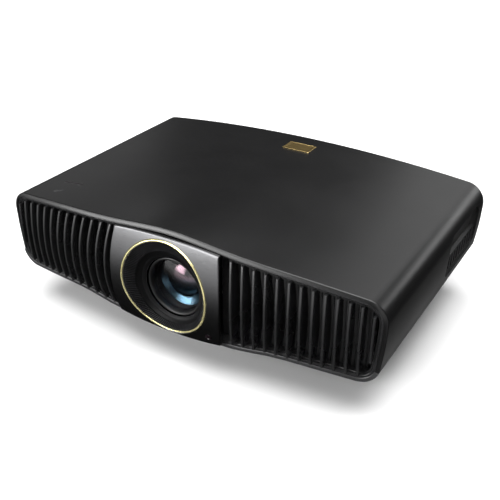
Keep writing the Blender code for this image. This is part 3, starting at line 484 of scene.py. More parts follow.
def phosphor_finish():
    """Yellow phosphor ring baked on a polished aluminium disc."""
    made, tree, shader = shader_of("phosphor_disc")
    low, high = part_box("phosphor_wheel")
    place = add_node(tree, "TexCoord").outputs["Object"]
    centred = add_node(tree, "Mapping", {"Vector": place, "Location": tuple(-(low + high) / 2)})
    split = add_node(tree, "SeparateXYZ", {0: centred.outputs[0]})
    flat = add_node(tree, "CombineXYZ", {"Y": split.outputs["Y"], "Z": split.outputs["Z"]})
    reach = add_node(tree, "VectorMath", {0: flat.outputs[0]}, operation="LENGTH").outputs["Value"]
    ring = add_node(tree, "ValToRGB", {"Fac": add_node(tree, "Math", {0: reach, 1: 40.0},
                                                       operation="MULTIPLY").outputs[0]})
    stops = ring.color_ramp.elements
    stops[0].position, stops[0].color = 0.0, (0, 0, 0, 1)
    stops[1].position, stops[1].color = 1.0, (0, 0, 0, 1)
    for spot, value in ((0.70, 0), (0.72, 1), (0.93, 1), (0.95, 0)):
        stops.new(spot).color = (value, value, value, 1)
    grains = add_node(tree, "TexNoise", {"Vector": place, "Scale": 900.0})
    tone = add_node(tree, "Mix", {"Factor": ring.outputs["Color"], "A": (0.6, 0.6, 0.6, 1),
                                  "B": (0.75, 0.60, 0.12, 1)}, data_type="RGBA")
    bare = add_node(tree, "Math", {0: 1.0, 1: ring.outputs["Color"]}, operation="SUBTRACT")
    rough = add_node(tree, "MapRange", {"Value": grains.outputs["Fac"], "To Min": 0.2, "To Max": 0.5})
    feed(tree, shader, {"Base Color": tone.outputs["Result"], "Metallic": bare.outputs[0],
                        "Roughness": rough.outputs["Result"]})
    return made


coat_node("phosphor_wheel", phosphor_finish())

# ---- lens mount, shift carriages, barrel and zoom ring -------------------------------------
# Machined plates slide one on the other on lead screws, and carry the black anodised barrel.
# The zoom ring turns on the barrel, driven by its pinion.
anodised = metal("black_anodised", (0.035, 0.035, 0.038), 0.38, along=700.0, across=700.0,
                 wear_and_highlight=0.5, worn_and_lit=(0.4, 0.4, 0.4, 1))
for name in ("lens_mount_plate", "vertical_carriage", "horizontal_carriage"):
    coat_node(name, cast_alloy)
for name in ("lens_barrel", "zoom_ring"):
    coat_node(name, anodised)

# ---- focus ring ----------------------------------------------------------------------------
# Front of the lens: a turned black ring with a soft rolled nose round the glass, a fine groove
# round its outside, and a toothed rim behind that the focus pinion drives.
AXIS_Z = 0.0932
ring_black = moulded("lens_ring_black", (0.008, 0.008, 0.0085), 0.40, grain=1800.0, bump=0.00001,
                     wear_and_highlight=0.3, worn_and_lit=(0.03, 0.03, 0.03, 1))
nose = [(-0.1395, 0.0328), (-0.1430, 0.0325), (-0.1447, 0.0326), (-0.1457, 0.0329), (-0.1464, 0.0336),
        (-0.1467, 0.0345), (-0.1466, 0.0352), (-0.1462, 0.0357), (-0.1454, 0.0359), (-0.1400, 0.0359),
        (-0.1398, 0.0356), (-0.1394, 0.0356), (-0.1392, 0.0359), (-0.1303, 0.0359), (-0.1300, 0.0362),
        (-0.1300, 0.0380), (-0.1220, 0.0380), (-0.1220, 0.0340), (-0.1224, 0.0336), (-0.1395, 0.0328)]
focus_shell = lathe("focus_ring_shell", nose, "y", (0, AXIS_Z), 128, closed=True)
tooth = block("focus_tooth", (0.0376, -0.1298, -0.0005), (0.0390, -0.1222, 0.0005), 0.0002, 1)
teeth = []
for k in range(96):
    copy = tooth.copy()
    copy.data = tooth.data.copy()
    bpy.context.collection.objects.link(copy)
    copy.data.transform(Matrix.Translation((0, 0, AXIS_Z)) @ Matrix.Rotation(math.tau * k / 96, 4, "Y"))
    teeth.append(copy)
bpy.data.objects.remove(tooth)
focus_shell = soften(join_up(focus_shell, *teeth), 35)
fit(focus_shell, "focus", "moulding", ring_black, "focus_ring")


# ---- front lens group ----------------------------------------------------------------------
# A clear glass meniscus in the focus ring, then a blackened spacer with fine grooves, a small
# domed element and a dished one round it. Their faces are metallic with painted reflections,
# blue low down on both, rose higher up on the small one and near black on the dished one.
# All are held by the ring.
def painted_reflection_group():
    """Painted reflection colour for a lens face: one hue low down, the other higher up, graded by height."""
    tree, given, result = start_group(
        "painted_reflection_tint",
        [("Low Hue", "Color", (0.08, 0.28, 0.5, 1)), ("High Hue", "Color", (0.5, 0.2, 0.3, 1)),
         ("Lean", "Float", 20.0), ("Middle", "Float", 0.0)], [("Hue", "Color")])
    place = add_node(tree, "TexCoord").outputs["Object"]
    split = add_node(tree, "SeparateXYZ", {0: place})
    high = add_node(tree, "Math", {0: split.outputs["Z"], 1: AXIS_Z}, operation="SUBTRACT")
    lifted = add_node(tree, "Math", {0: high.outputs[0], 1: given["Middle"]}, operation="SUBTRACT")
    share = add_node(tree, "Math", {0: lifted.outputs[0], 1: given["Lean"], 2: 0.5},
                     operation="MULTIPLY_ADD", use_clamp=True)
    hue = add_node(tree, "Mix", {"Factor": share.outputs[0], "A": given["Low Hue"],
                                 "B": given["High Hue"]}, data_type="RGBA")
    tree.links.new(hue.outputs["Result"], result["Hue"])
    return tree


painted_reflection_tint = painted_reflection_group()


# A metallic lens face whose colour is a painted reflection, graded by height over the face.
def painted_reflection_glass(name, low, high, lean=25.0, middle=0.0, roughness=0.02):
    made, tree, shader = shader_of(name)
    hue = use_group(tree, painted_reflection_tint, {"Low Hue": (*low, 1), "High Hue": (*high, 1), "Lean": lean,
                                         "Middle": middle})["Hue"]
    place = add_node(tree, "TexCoord").outputs["Object"]
    smears = add_node(tree, "TexNoise", {"Vector": place, "Scale": 60.0, "Detail": 4.0})
    rough = add_node(tree, "MapRange", {"Value": smears.outputs["Fac"], "To Min": roughness,
                                        "To Max": roughness + 0.06})
    feed(tree, shader, {"Base Color": hue, "Roughness": rough.outputs["Result"], "Metallic": 1.0})
    return made


def clear_glass(name):
    made, tree, shader = shader_of(name)
    place = add_node(tree, "TexCoord").outputs["Object"]
    smears = add_node(tree, "TexNoise", {"Vector": place, "Scale": 45.0, "Detail": 3.0})
    rough = add_node(tree, "MapRange", {"Value": smears.outputs["Fac"], "To Min": 0.0, "To Max": 0.03})
    hue = add_node(tree, "Mix", {"Factor": smears.outputs["Fac"], "A": (0.93, 0.96, 1.0, 1),
                                 "B": (1.0, 0.97, 0.98, 1)}, data_type="RGBA")
    feed(tree, shader, {"Base Color": hue.outputs["Result"], "Roughness": rough.outputs["Result"],
                        "Transmission Weight": 1.0, "IOR": 1.38})
    return made


def dome(front, radius, rise, count=12):
    """Steps of a spherical cap whose apex is at front and whose rim lies a rise behind it."""
    curve = (radius ** 2 + rise ** 2) / (2 * rise)
    steps = []
    for k in range(count + 1):
        r = max(radius * k / count, 0.0002)
        steps.append((front + curve - math.sqrt(curve ** 2 - r ** 2), r))
    return steps


meniscus = dome(-0.1452, 0.0315, 0.0060, 16)
meniscus += [(-0.1386, 0.0317), (-0.1380, 0.0312)] + list(reversed(dome(-0.1435, 0.0300, 0.0052, 10)))
front_glass = soften(lathe("front_glass", meniscus, "y", (0, AXIS_Z), 96), 30)
fit(front_glass, "focus", "glass", clear_glass("front_glass_clear"), "front_lens")

baffle_black = moulded("baffle_black", (0.003, 0.003, 0.003), 0.6, grain=2200.0, bump=0.00001, wear_and_highlight=0.1)
well = [(-0.1378, 0.0322), (-0.1374, 0.0312), (-0.1366, 0.0308)]
for k in range(4):
    start = -0.1360 + 0.0014 * k
    well += [(start, 0.0308), (start + 0.0003, 0.0303), (start + 0.0008, 0.0303), (start + 0.0011, 0.0308)]
well += [(-0.1290, 0.0306), (-0.1238, 0.0306), (-0.1238, 0.0120), (-0.1212, 0.0120), (-0.1212, 0.0322),
         (-0.1378, 0.0322)]
spacer = soften(lathe("lens_spacer", well, "y", (0, AXIS_Z), 96, closed=True), 25)
fit(spacer, "focus", "moulding", baffle_black)

second = dome(-0.1370, 0.0200, 0.0063, 16) + [(-0.1262, 0.0200), (-0.1258, 0.0170)]
second_lens = soften(lathe("second_element", second, "y", (0, AXIS_Z), 96), 30)
# The small element: blue low down and rose higher up, painted reflection colours.
fit(second_lens, "focus", "glass", painted_reflection_glass("blue_rose_painted_reflection", (0.090, 0.190, 0.270), (0.110, 0.075, 0.085),
                                                lean=60.0, middle=0.000, roughness=0.18))

dish = [(-0.1248 - 0.0052 * (k / 8) ** 1.35, 0.0204 + 0.0098 * k / 8) for k in range(9)]
dish += [(-0.1242, 0.0302), (-0.1242, 0.0204), (-0.1248, 0.0204)]
dish_lens = soften(lathe("concave_element", dish, "y", (0, AXIS_Z), 96, closed=True), 30)
# The dished element: blue low down and near black higher up, painted reflection colours.
fit(dish_lens, "focus", "glass", painted_reflection_glass("blue_dark_painted_reflection", (0.060, 0.110, 0.145), (0.018, 0.020, 0.030),
                                              lean=60.0, middle=-0.004, roughness=0.24))

# ---- fans ----------------------------------------------------------------------------------
# One behind each grille: a seven-blade rotor in a square frame, both moulded in glass-filled
# black plastic. The frame is clipped to the bottom case, and the rotor spins on its hub.
fan_black = moulded("fan_black", (0.016, 0.016, 0.016), 0.55, grain=900.0, mottle=0.2, dust=0.1)
for name in ("intake_fan_frame", "intake_fan_rotor", "exhaust_fan_frame", "exhaust_fan_rotor"):
    coat_node(name, fan_black)

# ---- rear panel and sockets ----------------------------------------------------------------
# A flat plate let into the casing's rear, with a shallow tray round the signal sockets, an
# exhaust grating and six screws. The socket shells are pressed steel; the mains inlet is nylon.
panel_black = moulded("panel_black", (0.014, 0.014, 0.0145), 0.5, grain=1100.0, bump=0.00004,
                      wear_and_highlight=0.3)
PORTS = ("hdmi_port_1", "hdmi_port_2", "usb_port", "lan_port", "serial_port", "ac_inlet")


def slab(name, corners, thickness, bevel=0.0):
    """A closed outline filled, extruded by its thickness, and bevelled round both faces."""
    bpy.ops.object.select_all(action="DESELECT")
    bpy.ops.mesh.primitive_circle_add(vertices=len(corners), radius=1)
    made = bpy.context.object
    made.name = made.data.name = name
    for vertex, corner in zip(made.data.vertices, corners):
        vertex.co = corner
    bpy.ops.object.mode_set(mode="EDIT")
    bpy.ops.mesh.select_all(action="SELECT")
    bpy.ops.mesh.edge_face_add()
    bpy.ops.mesh.extrude_region_move(TRANSFORM_OT_translate={"value": thickness})
    bpy.ops.mesh.select_all(action="SELECT")
    bpy.ops.mesh.normals_make_consistent(inside=False)
    bpy.ops.object.mode_set(mode="OBJECT")
    if bevel:
        apply_modifier(made, "BEVEL", width=bevel, segments=2, limit_method="ANGLE", angle_limit=1.0)
    return made


back_half = casing_section(0.0, WALL + GAP, 3)
back_line = back_half + [(-x, z) for x, z in reversed(back_half[1:-1])]
back_plate = slab("back_plate", [(x, REAR - 0.0035, z) for x, z in back_line], (0, 0.0025, 0), 0.0004)
signal = [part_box(name) for name in PORTS[:5]]
low_z, high_z = min(b[0].z for b in signal), max(b[1].z for b in signal)
low_x, high_x = min(b[0].x for b in signal), max(b[1].x for b in signal)
cut_with(back_plate, block("tray_recess", (low_x - 0.008, REAR - 0.0019, low_z - 0.005),
                           (high_x + 0.008, REAR + 0.01, high_z + 0.006), 0.0))
for name in PORTS:
    low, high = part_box(name)
    cut_with(back_plate, block("socket_hole", (low.x - GAP, REAR - 0.02, low.z - GAP),
                               (high.x + GAP, REAR + 0.01, high.z + GAP)))
slots = [block("slot", (x, REAR - 0.02, 0.090), (x + 0.0035, REAR + 0.01, 0.125), 0.0012, 3)
         for x in (0.050 + 0.0075 * k for k in range(14))]
cut_with(back_plate, join_up(*slots))
soften(back_plate, 25)
fit(back_plate, "casing", "moulding", panel_black, "rear_panel")

screw_steel = metal("screw_steel", (0.09, 0.09, 0.095), 0.32, along=900.0, across=900.0, wear_and_highlight=0.7,
                    worn_and_lit=(0.5, 0.5, 0.5, 1))


def screw_head(name, axis, face, spot, outward=1.0, radius=0.0027):
    """A pan head with a cross recess, its rim just clear of the plate."""
    steps = [(face, radius), (face + 0.0003 * outward, radius), (face + 0.0008 * outward, radius * 0.85),
             (face + 0.0010 * outward, radius * 0.5), (face + 0.00105 * outward, radius * 0.1)]
    head = lathe(name, steps, axis, spot, 24)
    for a, b in ((0.0015, 0.00035), (0.00035, 0.0015)):
        at = {"y": (spot[0], face + 0.0010 * outward, spot[1]), "z": (*spot, face + 0.0010 * outward)}[axis]
        size = {"y": (a, 0.0006, b), "z": (a, b, 0.0006)}[axis]
        cut_with(head, block("cross", [p - s for p, s in zip(at, size)], [p + s for p, s in zip(at, size)]))
    return soften(head, 30)


REAR_SCREWS = [(-0.215, 0.118), (0.215, 0.118), (-0.215, 0.078), (0.215, 0.100), (-0.02, 0.140),
               (0.105, 0.070)]
for k, spot in enumerate(REAR_SCREWS):
    fit(screw_head("rear_screw_%d" % (k + 1), "y", REAR - 0.0012, spot), "casing", "steel", screw_steel)

socket_steel = metal("socket_steel", (0.50, 0.50, 0.49), 0.3, along=60.0, across=1500.0, wear_and_highlight=0.6)
inlet_black = moulded("inlet_black", (0.012, 0.012, 0.012), 0.45, grain=900.0)
for name in PORTS[:5]:
    coat_node(name, socket_steel)
coat_node("ac_inlet", inlet_black)

# ---- front bezel ---------------------------------------------------------------------------
# A slim frame moulded in black ABS and clipped inside the casing's mouth. Its raised inner bead
# frames the grilles and the lens panel.
trim_black = moulded("trim_black", (0.017, 0.017, 0.018), 0.34, grain=1600.0, bump=0.00001,
                     wear_and_highlight=0.4, worn_and_lit=(0.10, 0.10, 0.102, 1))
LIP_WALL, BEZEL_IN, RAIL_IN = 0.0048, 0.0072, 0.0097


def ring_line(inset, fine=FINE):
    half = casing_section(1.0, inset, fine)
    return half + [(-x, z) for x, z in reversed(half[1:-1])]


bezel_rings = {inset: ring_line(inset) for inset in (LIP_WALL + GAP, LIP_WALL + 0.0011, 0.0062, 0.0068,
                                                     BEZEL_IN)}
bezel_walk = [(LIP_WALL + GAP, 0.0120), (LIP_WALL + GAP, 0.0021), (LIP_WALL + 0.0011, 0.0016),
              (0.0062, 0.0016), (0.0062, 0.0022), (0.0068, 0.0022), (0.0068, 0.0015),
              (BEZEL_IN, 0.0018), (BEZEL_IN, 0.0120)]


def bezel_place(i, j):
    inset, back = bezel_walk[j]
    x, z = bezel_rings[inset][i]
    return (x, lip_y(x) + back, z)


bezel = sheet("bezel_frame", len(bezel_rings[BEZEL_IN]), len(bezel_walk), bezel_place, ring=True,
              loop=True)
cut_with(bezel, block("cone_notch", (-0.028, LIP - 0.01, 0.040), (0.028, LIP + 0.016, 0.060)))
fit(soften(bezel, 25), "casing", "moulding", trim_black, "front_bezel")

# ---- grilles -------------------------------------------------------------------------------
# A black ABS frame each side of the lens, with thirteen upright fins that bow with the front face.
# Narrower ribs stand between the fins further back, ahead of a dust mesh whose holes are painted
# near black, not cut: painted shade that keeps the gaps dark.
grille_black = moulded("grille_black", (0.011, 0.011, 0.0115), 0.28, grain=1700.0, bump=0.00001,
                       mottle=0.08, dust=0.0, wear_and_highlight=0.2)
BULGE_Z, BULGE_HALF, FINS = 0.0982, 0.0563, 13


def fin_face(x, z):
    reach = 0.0115 * (1 - 0.85 * (x / HALF) ** 4)
    return lip_y(x) - reach * max(0.0, 1 - ((z - BULGE_Z) / BULGE_HALF) ** 2)


def span_at(x, line):
    """Lowest and highest point at a given x of the right half of an outline."""
    widest = max(range(len(line)), key=lambda i: line[i][0])
    ends = []
    for run in (line[widest:], line[:widest + 1]):
        for (xa, za), (xb, zb) in zip(run, run[1:]):
            if min(xa, xb) <= x <= max(xa, xb) and xa != xb:
                ends.append(za + (zb - za) * (x - xa) / (xb - xa))
                break
    return ends


fin_limit = casing_section(1.0, (BEZEL_IN + RAIL_IN) / 2, FINE)
fin_nose = [(-0.5, 1.0), (-0.5, 0.30), (-0.5, 0.10), (-0.44, 0.03), (-0.28, 0.0), (0.28, 0.0),
            (0.44, 0.03), (0.5, 0.10), (0.5, 0.30), (0.5, 1.0)]


def fin_line(i):
    """Foot of a fin across the front, and how far its middle bows outwards."""
    return 0.0788 + 0.01325 * i - 0.000035 * i * i, 0.005 * (1 - min(1.0, i / 12) ** 2)


def fin(name, side, i, thick, start, depth, taper, up=18):
    root, bow = fin_line(i)
    low, high = span_at(root + thick / 2, fin_limit)

    def fin_place(k, j):
        across, deep = fin_nose[k]
        z = low + (high - low) * j / up
        x = root + bow * max(0.0, 1 - ((z - BULGE_Z) / BULGE_HALF) ** 2)
        front = fin_face(x, z) + start
        back = max(front + depth, lip_y(x) + 0.0085)
        wide = thick * (1 - taper * deep)
        return (side * (x + across * wide), front + (back - front) * deep, z)

    return sheet(name, len(fin_nose), up, fin_place, ring=True)


frame_line = {inset: casing_section(1.0, inset, FINE) for inset in (BEZEL_IN + GAP, RAIL_IN)}
kept = [i for i, (x, z) in enumerate(casing_section(1.0, BEZEL_IN, FINE)) if x > 0.0815]
frame_walk = [(0.0, 0.011), (0.0, 0.0034), (0.15, 0.003), (0.85, 0.003), (1.0, 0.0034), (1.0, 0.011)]
for side, name in ((-1, "left"), (1, "right")):
    rails = []
    for inset, inner_x in ((BEZEL_IN + GAP, 0.0748), (RAIL_IN, 0.0778)):
        low, high = span_at(inner_x, frame_line[inset])
        rails.append([(inner_x, high)] + [frame_line[inset][i] for i in kept] + [(inner_x, low)])

    def frame_place(i, j):
        share, back = frame_walk[j]
        (xa, za), (xb, zb) = rails[0][i], rails[1][i]
        x, z = xa + (xb - xa) * share, za + (zb - za) * share
        return (side * x, lip_y(x) + back, z)

    parts = [sheet(name + "_vent", len(rails[0]), len(frame_walk), frame_place, ring=True, loop=True)]
    for i in range(FINS):
        parts.append(fin("fin", side, i, 0.0031, 0.0, 0.013, 0.45))
    vent = soften(join_up(*parts), 35)
    fit(vent, "casing", "moulding", grille_black, name + "_grille")
    ribs = [fin("rib", side, i + 0.5, 0.0016, 0.0105, 0.004, 0.2, 10) for i in range(FINS - 1)]
    ribs = soften(join_up(*ribs), 35)
    ribs.name = ribs.data.name = name + "_vent_ribs"
    fit(ribs, "casing", "moulding", grille_black)


def mesh_with_painted_holes():
    """Black painted steel with round holes close together; the holes are painted near black, not cut, as
    painted shade.
    """
    made, tree, shader = shader_of("dust_mesh_painted_holes")
    place = add_node(tree, "TexCoord").outputs["Object"]
    painted_holes = add_node(tree, "TexVoronoi", {"Vector": place, "Scale": 520.0, "Randomness": 0.0})
    solid = add_node(tree, "MapRange", {"Value": painted_holes.outputs["Distance"], "From Min": 0.30,
                                        "From Max": 0.36})
    # The holes take the near-black colour: painted shade where the openings would be.
    tone = add_node(tree, "Mix", {"Factor": solid.outputs["Result"], "A": (0.002, 0.002, 0.002, 1),
                                  "B": (0.016, 0.016, 0.017, 1)}, data_type="RGBA")
    rough = add_node(tree, "MapRange", {"Value": solid.outputs["Result"], "To Min": 0.9, "To Max": 0.5})
    rise = add_node(tree, "Bump", {"Height": solid.outputs["Result"], "Distance": 0.0003})
    feed(tree, shader, {"Base Color": tone.outputs["Result"], "Roughness": rough.outputs["Result"],
                        "Normal": rise.outputs["Normal"]})
    return made


dust_mesh_painted_holes = mesh_with_painted_holes()
# Each screen is a dust mesh and also an opaque dark sheet behind the fins, standing in for the shade inside
# the gaps.
SCREEN_IN, SCREEN_OUT, SCREEN_BACK = 0.0600, 0.2335, 0.0130
screen_limit = casing_section(1.0, BEZEL_IN + 0.0008, FINE)
for side, name in ((-1, "left"), (1, "right")):
    def screen_place(i, j):
        x = SCREEN_IN + (SCREEN_OUT - SCREEN_IN) * i / 44
        low, high = span_at(x, screen_limit)
        return (side * x, lip_y(x) + SCREEN_BACK, low + (high - low) * j / 16)

    screen = sheet(name + "_dust_screen", 44, 16, screen_place)
    apply_modifier(screen, "SOLIDIFY", thickness=0.0005, offset=0.0)
    fit(soften(screen), "casing", "moulding", dust_mesh_painted_holes)

# ---- lens panel ----------------------------------------------------------------------------
# The middle of the front: a bowed plate with a satin, finely drawn dark-silver finish and a
# polished chamfer round its edge, clipped between the grilles. A round opening takes the lens.
RING_Z, RING_R, RING_WIDE = 0.1014, 0.0556, 0.0022
PANEL_LOW, PANEL_HIGH, PANEL_DEEP, PANEL_PROUD = 0.0420, 0.1615, 0.0038, 0.0035
PANEL_MIDDLE, PANEL_TALL, PANEL_BULGE = 0.1002, 0.0625, 0.0111
PANEL_SIDE, PANEL_BOW, PANEL_LIFT, PANEL_SAG = 0.0667, 0.0056, 0.006, 0.0035
PANEL_CORNERS = (0.0481, 0.1579)


def panel_face(x, z):
    """Front of the panel, which stands proud of the lip and bulges in the middle."""
    bulge = PANEL_BULGE * max(0.0, 1 - ((z - PANEL_MIDDLE) / PANEL_TALL) ** 2)
    return lip_y(x) - PANEL_PROUD - bulge


def panel_half(z):
    """Half the panel's width at a height: its sides bow out in the middle."""
    return PANEL_SIDE + PANEL_BOW * (1 - ((z - PANEL_MIDDLE) / PANEL_TALL) ** 2)


def panel_reach(turn):
    """Distance from the opening's centre to the panel's edge in a direction."""
    near, far = 0.0, 0.2
    while far - near > 1e-7:
        middle = (near + far) / 2
        x, z = math.cos(turn) * middle, RING_Z + math.sin(turn) * middle
        share = (x / PANEL_SIDE) ** 2
        low, high = PANEL_LOW + PANEL_LIFT * share, PANEL_HIGH - PANEL_SAG * share
        within = abs(x) <= panel_half(z) and low <= z <= high
        near, far = (middle, far) if within else (near, middle)
    return near


corners = []
for z in PANEL_CORNERS:
    turn = math.atan2(z - RING_Z, panel_half(z))
    corners += [turn % math.tau, (math.pi - turn) % math.tau]
turns = [turn for turn in (math.tau * k / 180 for k in range(180))
         if min(abs(turn - corner) for corner in corners) > 0.012]
turns = sorted(turns + corners)
panel_hole = RING_R + RING_WIDE / 2 + GAP
reaches = [panel_reach(turn) for turn in turns]
# distance in from the outer edge or out from the hole, share across, and depth behind the face
panel_walk = [("hole", 0.0, PANEL_DEEP), ("hole", 0.0, 0.0004), ("hole", 0.0004, 0.0)]
panel_walk += [("share", k / 12, 0.0) for k in range(1, 12)]
panel_walk += [("edge", 0.0011, 0.0), ("edge", 0.0007, 0.00005), ("edge", 0.0, 0.0007),
               ("edge", 0.0, PANEL_DEEP), ("share", 0.5, PANEL_DEEP)]


def panel_place(i, j):
    kind, value, deep = panel_walk[j]
    turn, far = turns[i], reaches[i]
    inner, outer = panel_hole + 0.0004, far - 0.0011
    reach = {"hole": panel_hole + value, "edge": far - value,
             "share": inner + (outer - inner) * value}[kind]
    x, z = reach * math.cos(turn), RING_Z + reach * math.sin(turn)
    return (x, panel_face(x, z) + deep, z)


def satin_panel():
    """Anodised dark silver: fine lines drawn across it, and a slow drift in tone."""
    made, tree, shader = shader_of("satin_silver")
    lines = use_group(tree, brushed_lines, {"Along": 30.0, "Across": 3400.0})["Fac"]
    place = add_node(tree, "TexCoord").outputs["Object"]
    drift = add_node(tree, "TexNoise", {"Vector": place, "Scale": 12.0, "Detail": 2.0})
    swing = add_node(tree, "MapRange", {"Value": lines, "From Min": 0.25, "From Max": 0.75,
                                        "To Min": 0.93, "To Max": 1.07})
    fade = add_node(tree, "MapRange", {"Value": drift.outputs["Fac"], "From Min": 0.3, "From Max": 0.7,
                                       "To Min": 0.96, "To Max": 1.04})
    both = add_node(tree, "Math", {0: swing.outputs["Result"], 1: fade.outputs["Result"]},
                    operation="MULTIPLY")
    tone = add_node(tree, "VectorMath", {0: (0.13, 0.13, 0.133), "Scale": both.outputs[0]},
                    operation="SCALE")
    rubbed_and_lit = use_group(tree, edge_wear_and_highlight, {"Amount": 0.25})["Mask"]
    mixed = add_node(tree, "Mix", {"Factor": rubbed_and_lit, "A": tone.outputs[0], "B": (0.6, 0.6, 0.6, 1)},
                     data_type="RGBA")
    rough = add_node(tree, "MapRange", {"Value": lines, "From Min": 0.25, "From Max": 0.75,
                                        "To Min": 0.26, "To Max": 0.36})
    rise = add_node(tree, "Bump", {"Height": lines, "Strength": 1.0, "Distance": 0.000006})
    feed(tree, shader, {"Base Color": mixed.outputs["Result"], "Roughness": rough.outputs["Result"],
                        "Normal": rise.outputs["Normal"], "Metallic": 1.0})
    return made


face_panel = sheet("face_panel", len(turns), len(panel_walk), panel_place, ring=True, loop=True)
fit(soften(face_panel, 25), "casing", "lens_panel", satin_panel(), "lens_panel")

# ---- infrared window -----------------------------------------------------------------------
# A lens for the remote control's light, moulded in dark red-black acrylic and pressed into a
# hole in the panel's lower corner from the front.
IR_PLACE = (0.0555, 0.0585)


def tinted(name, colour, other):
    """A near-black clear plastic, polished, with two close tints drifting through it."""
    made, tree, shader = shader_of(name)
    place = add_node(tree, "TexCoord").outputs["Object"]
    depth = add_node(tree, "TexNoise", {"Vector": place, "Scale": 220.0, "Detail": 2.0})
    tone = add_node(tree, "Mix", {"Factor": depth.outputs["Fac"], "A": (*colour, 1), "B": (*other, 1)},
                    data_type="RGBA")
    rough = add_node(tree, "MapRange", {"Value": depth.outputs["Fac"], "To Min": 0.06, "To Max": 0.14})
    feed(tree, shader, {"Base Color": tone.outputs["Result"], "Roughness": rough.outputs["Result"]})
    return made


smoked = tinted("smoked_acrylic", (0.004, 0.003, 0.004), (0.006, 0.003, 0.004))
ir_front = panel_face(*IR_PLACE)
ir_steps = [(ir_front + 0.0060, 0.0032), (ir_front + 0.0058, 0.0041), (ir_front + 0.0003, 0.0042),
            (ir_front - 0.0002, 0.0041), (ir_front - 0.0003, 0.0038), (ir_front - 0.0001, 0.0034),
            (ir_front - 0.0006, 0.0022), (ir_front - 0.0008, 0.0008), (ir_front - 0.0008, 0.0002)]
ir_lens = soften(lathe("ir_lens", ir_steps, "y", IR_PLACE, 40), 30)
fit(ir_lens, "casing", "glass", smoked, "ir_window")

# ---- trim ring -----------------------------------------------------------------------------
# A thin half-round bead of champagne-gold plated brass, drawn to the panel's bowed shape and
# pressed into its opening.
gold_plate = metal("champagne_gold", (0.90, 0.82, 0.42), 0.24, along=300.0, across=300.0,
                   bump=0.000004, spread=0.08, wear_and_highlight=0.2, worn_and_lit=(1.0, 0.95, 0.75, 1), tint=0.05,
                   metallic=0.75)
bead = [(-1.1, 3.0), (-1.1, 0.3), (-0.98, -0.2), (-0.7, -0.55), (-0.35, -0.75), (0.0, -0.8),
        (0.35, -0.75), (0.7, -0.55), (0.98, -0.2), (1.1, 0.3), (1.1, 3.0)]


def bead_place(i, j):
    turn = math.tau * i / 192
    out, deep = bead[j]
    radius = RING_R + out * 0.001
    x, z = radius * math.cos(turn), RING_Z + radius * math.sin(turn)
    return (x, panel_face(x, z) + deep * 0.001, z)


trim_bead = sheet("trim_bead", 192, len(bead), bead_place, ring=True, loop=True)
fit(soften(trim_bead, 40), "casing", "gold", gold_plate, "lens_trim_ring")

# ---- lens cone -----------------------------------------------------------------------------
# A funnel moulded in matt black plastic, from the bead down to the lens. Fine radial ribs kill
# stray light on its outer part; towards the lens it runs smooth and ends in a rolled lip.
# The edge mask runs here at an amount of 4, far above other parts: it paints the rib crests lighter, a
# painted highlight along the ribs, not wear.
cone_black = moulded("cone_black", (0.003, 0.003, 0.0034), 0.5, grain=1500.0, bump=0.00001,
                     mottle=0.1, dust=0.0, wear_and_highlight=4.0, worn_and_lit=(0.07, 0.07, 0.075, 1), ior=1.28)
THROAT_R, THROAT_Y, CONE_THICK = 0.0402, -0.1502, 0.0030
ROLL_AT, ROLL_R, ROLL_REACH = 0.94, 0.0012, 0.0044
RIBS, PER_RIB, RIB_DEEP = 132, 4, 0.0017
RIB_WAVE = (0.0, 0.0, 1.0, 1.0)
cone_walk = [("back", 0.0), ("front", 0.0), ("front", 0.03), ("front", 0.06)]
cone_walk += [("front", 0.06 + 0.05 * k) for k in range(1, 11)]
cone_walk += [("front", s) for s in (0.62, 0.66, 0.74, 0.82, 0.90, ROLL_AT)]
cone_walk += [("roll", a) for a in (0, 30, 60, 90, 120, 150, 180)]
cone_walk += [("back", 1.0), ("back", 0.5)]


def cone_place(i, j):
    turn = math.tau * i / (RIBS * PER_RIB)
    kind, share = cone_walk[j]
    outer = RING_R - RING_WIDE / 2 - GAP
    x, z = outer * math.cos(turn), RING_Z + outer * math.sin(turn)
    rim = Vector((x, panel_face(x, z) + 0.0006, z))
    throat = Vector((THROAT_R * math.cos(turn), THROAT_Y, AXIS_Z + THROAT_R * math.sin(turn)))
    if kind == "back":
        return rim.lerp(throat, share) + Vector((0, CONE_THICK, 0))
    if kind == "roll":
        inward = Vector((-math.cos(turn), 0, -math.sin(turn)))
        a = math.radians(share)
        start = rim.lerp(throat, ROLL_AT)
        return start + Vector((0, ROLL_R * (1 - math.cos(a)), 0)) + inward * ROLL_REACH * math.sin(a / 2)
    rise = min(1.0, max(0.0, (share - 0.03) / 0.03), max(0.0, (0.66 - share) / 0.06))
    outward = Vector((-0.7 * math.cos(turn), -0.7, -0.7 * math.sin(turn)))
    return rim.lerp(throat, share) + outward * RIB_DEEP * rise * (RIB_WAVE[i % PER_RIB] - 0.4)


cone = sheet("ribbed_cone", RIBS * PER_RIB, len(cone_walk), cone_place, ring=True, loop=True)
fit(soften(cone, 25), "casing", "moulding", cone_black, "lens_cone")

# ---- side vent -----------------------------------------------------------------------------
# An exhaust insert moulded in black ABS and pressed into the right-hand opening: a scooped
# upper half, a ledge, and a row of upright slots below it.
BAY_LOW, BAY_HIGH, BAY_ROUND = (0.047, 0.0765), (0.153, 0.132), 0.012
LEDGE_Z = 0.1030


def wall_x(z):
    low, high = side_x(BAY_LOW[1]), 0.2436
    return low + (high - low) * (z - BAY_LOW[1]) / (BAY_HIGH[1] - BAY_LOW[1])


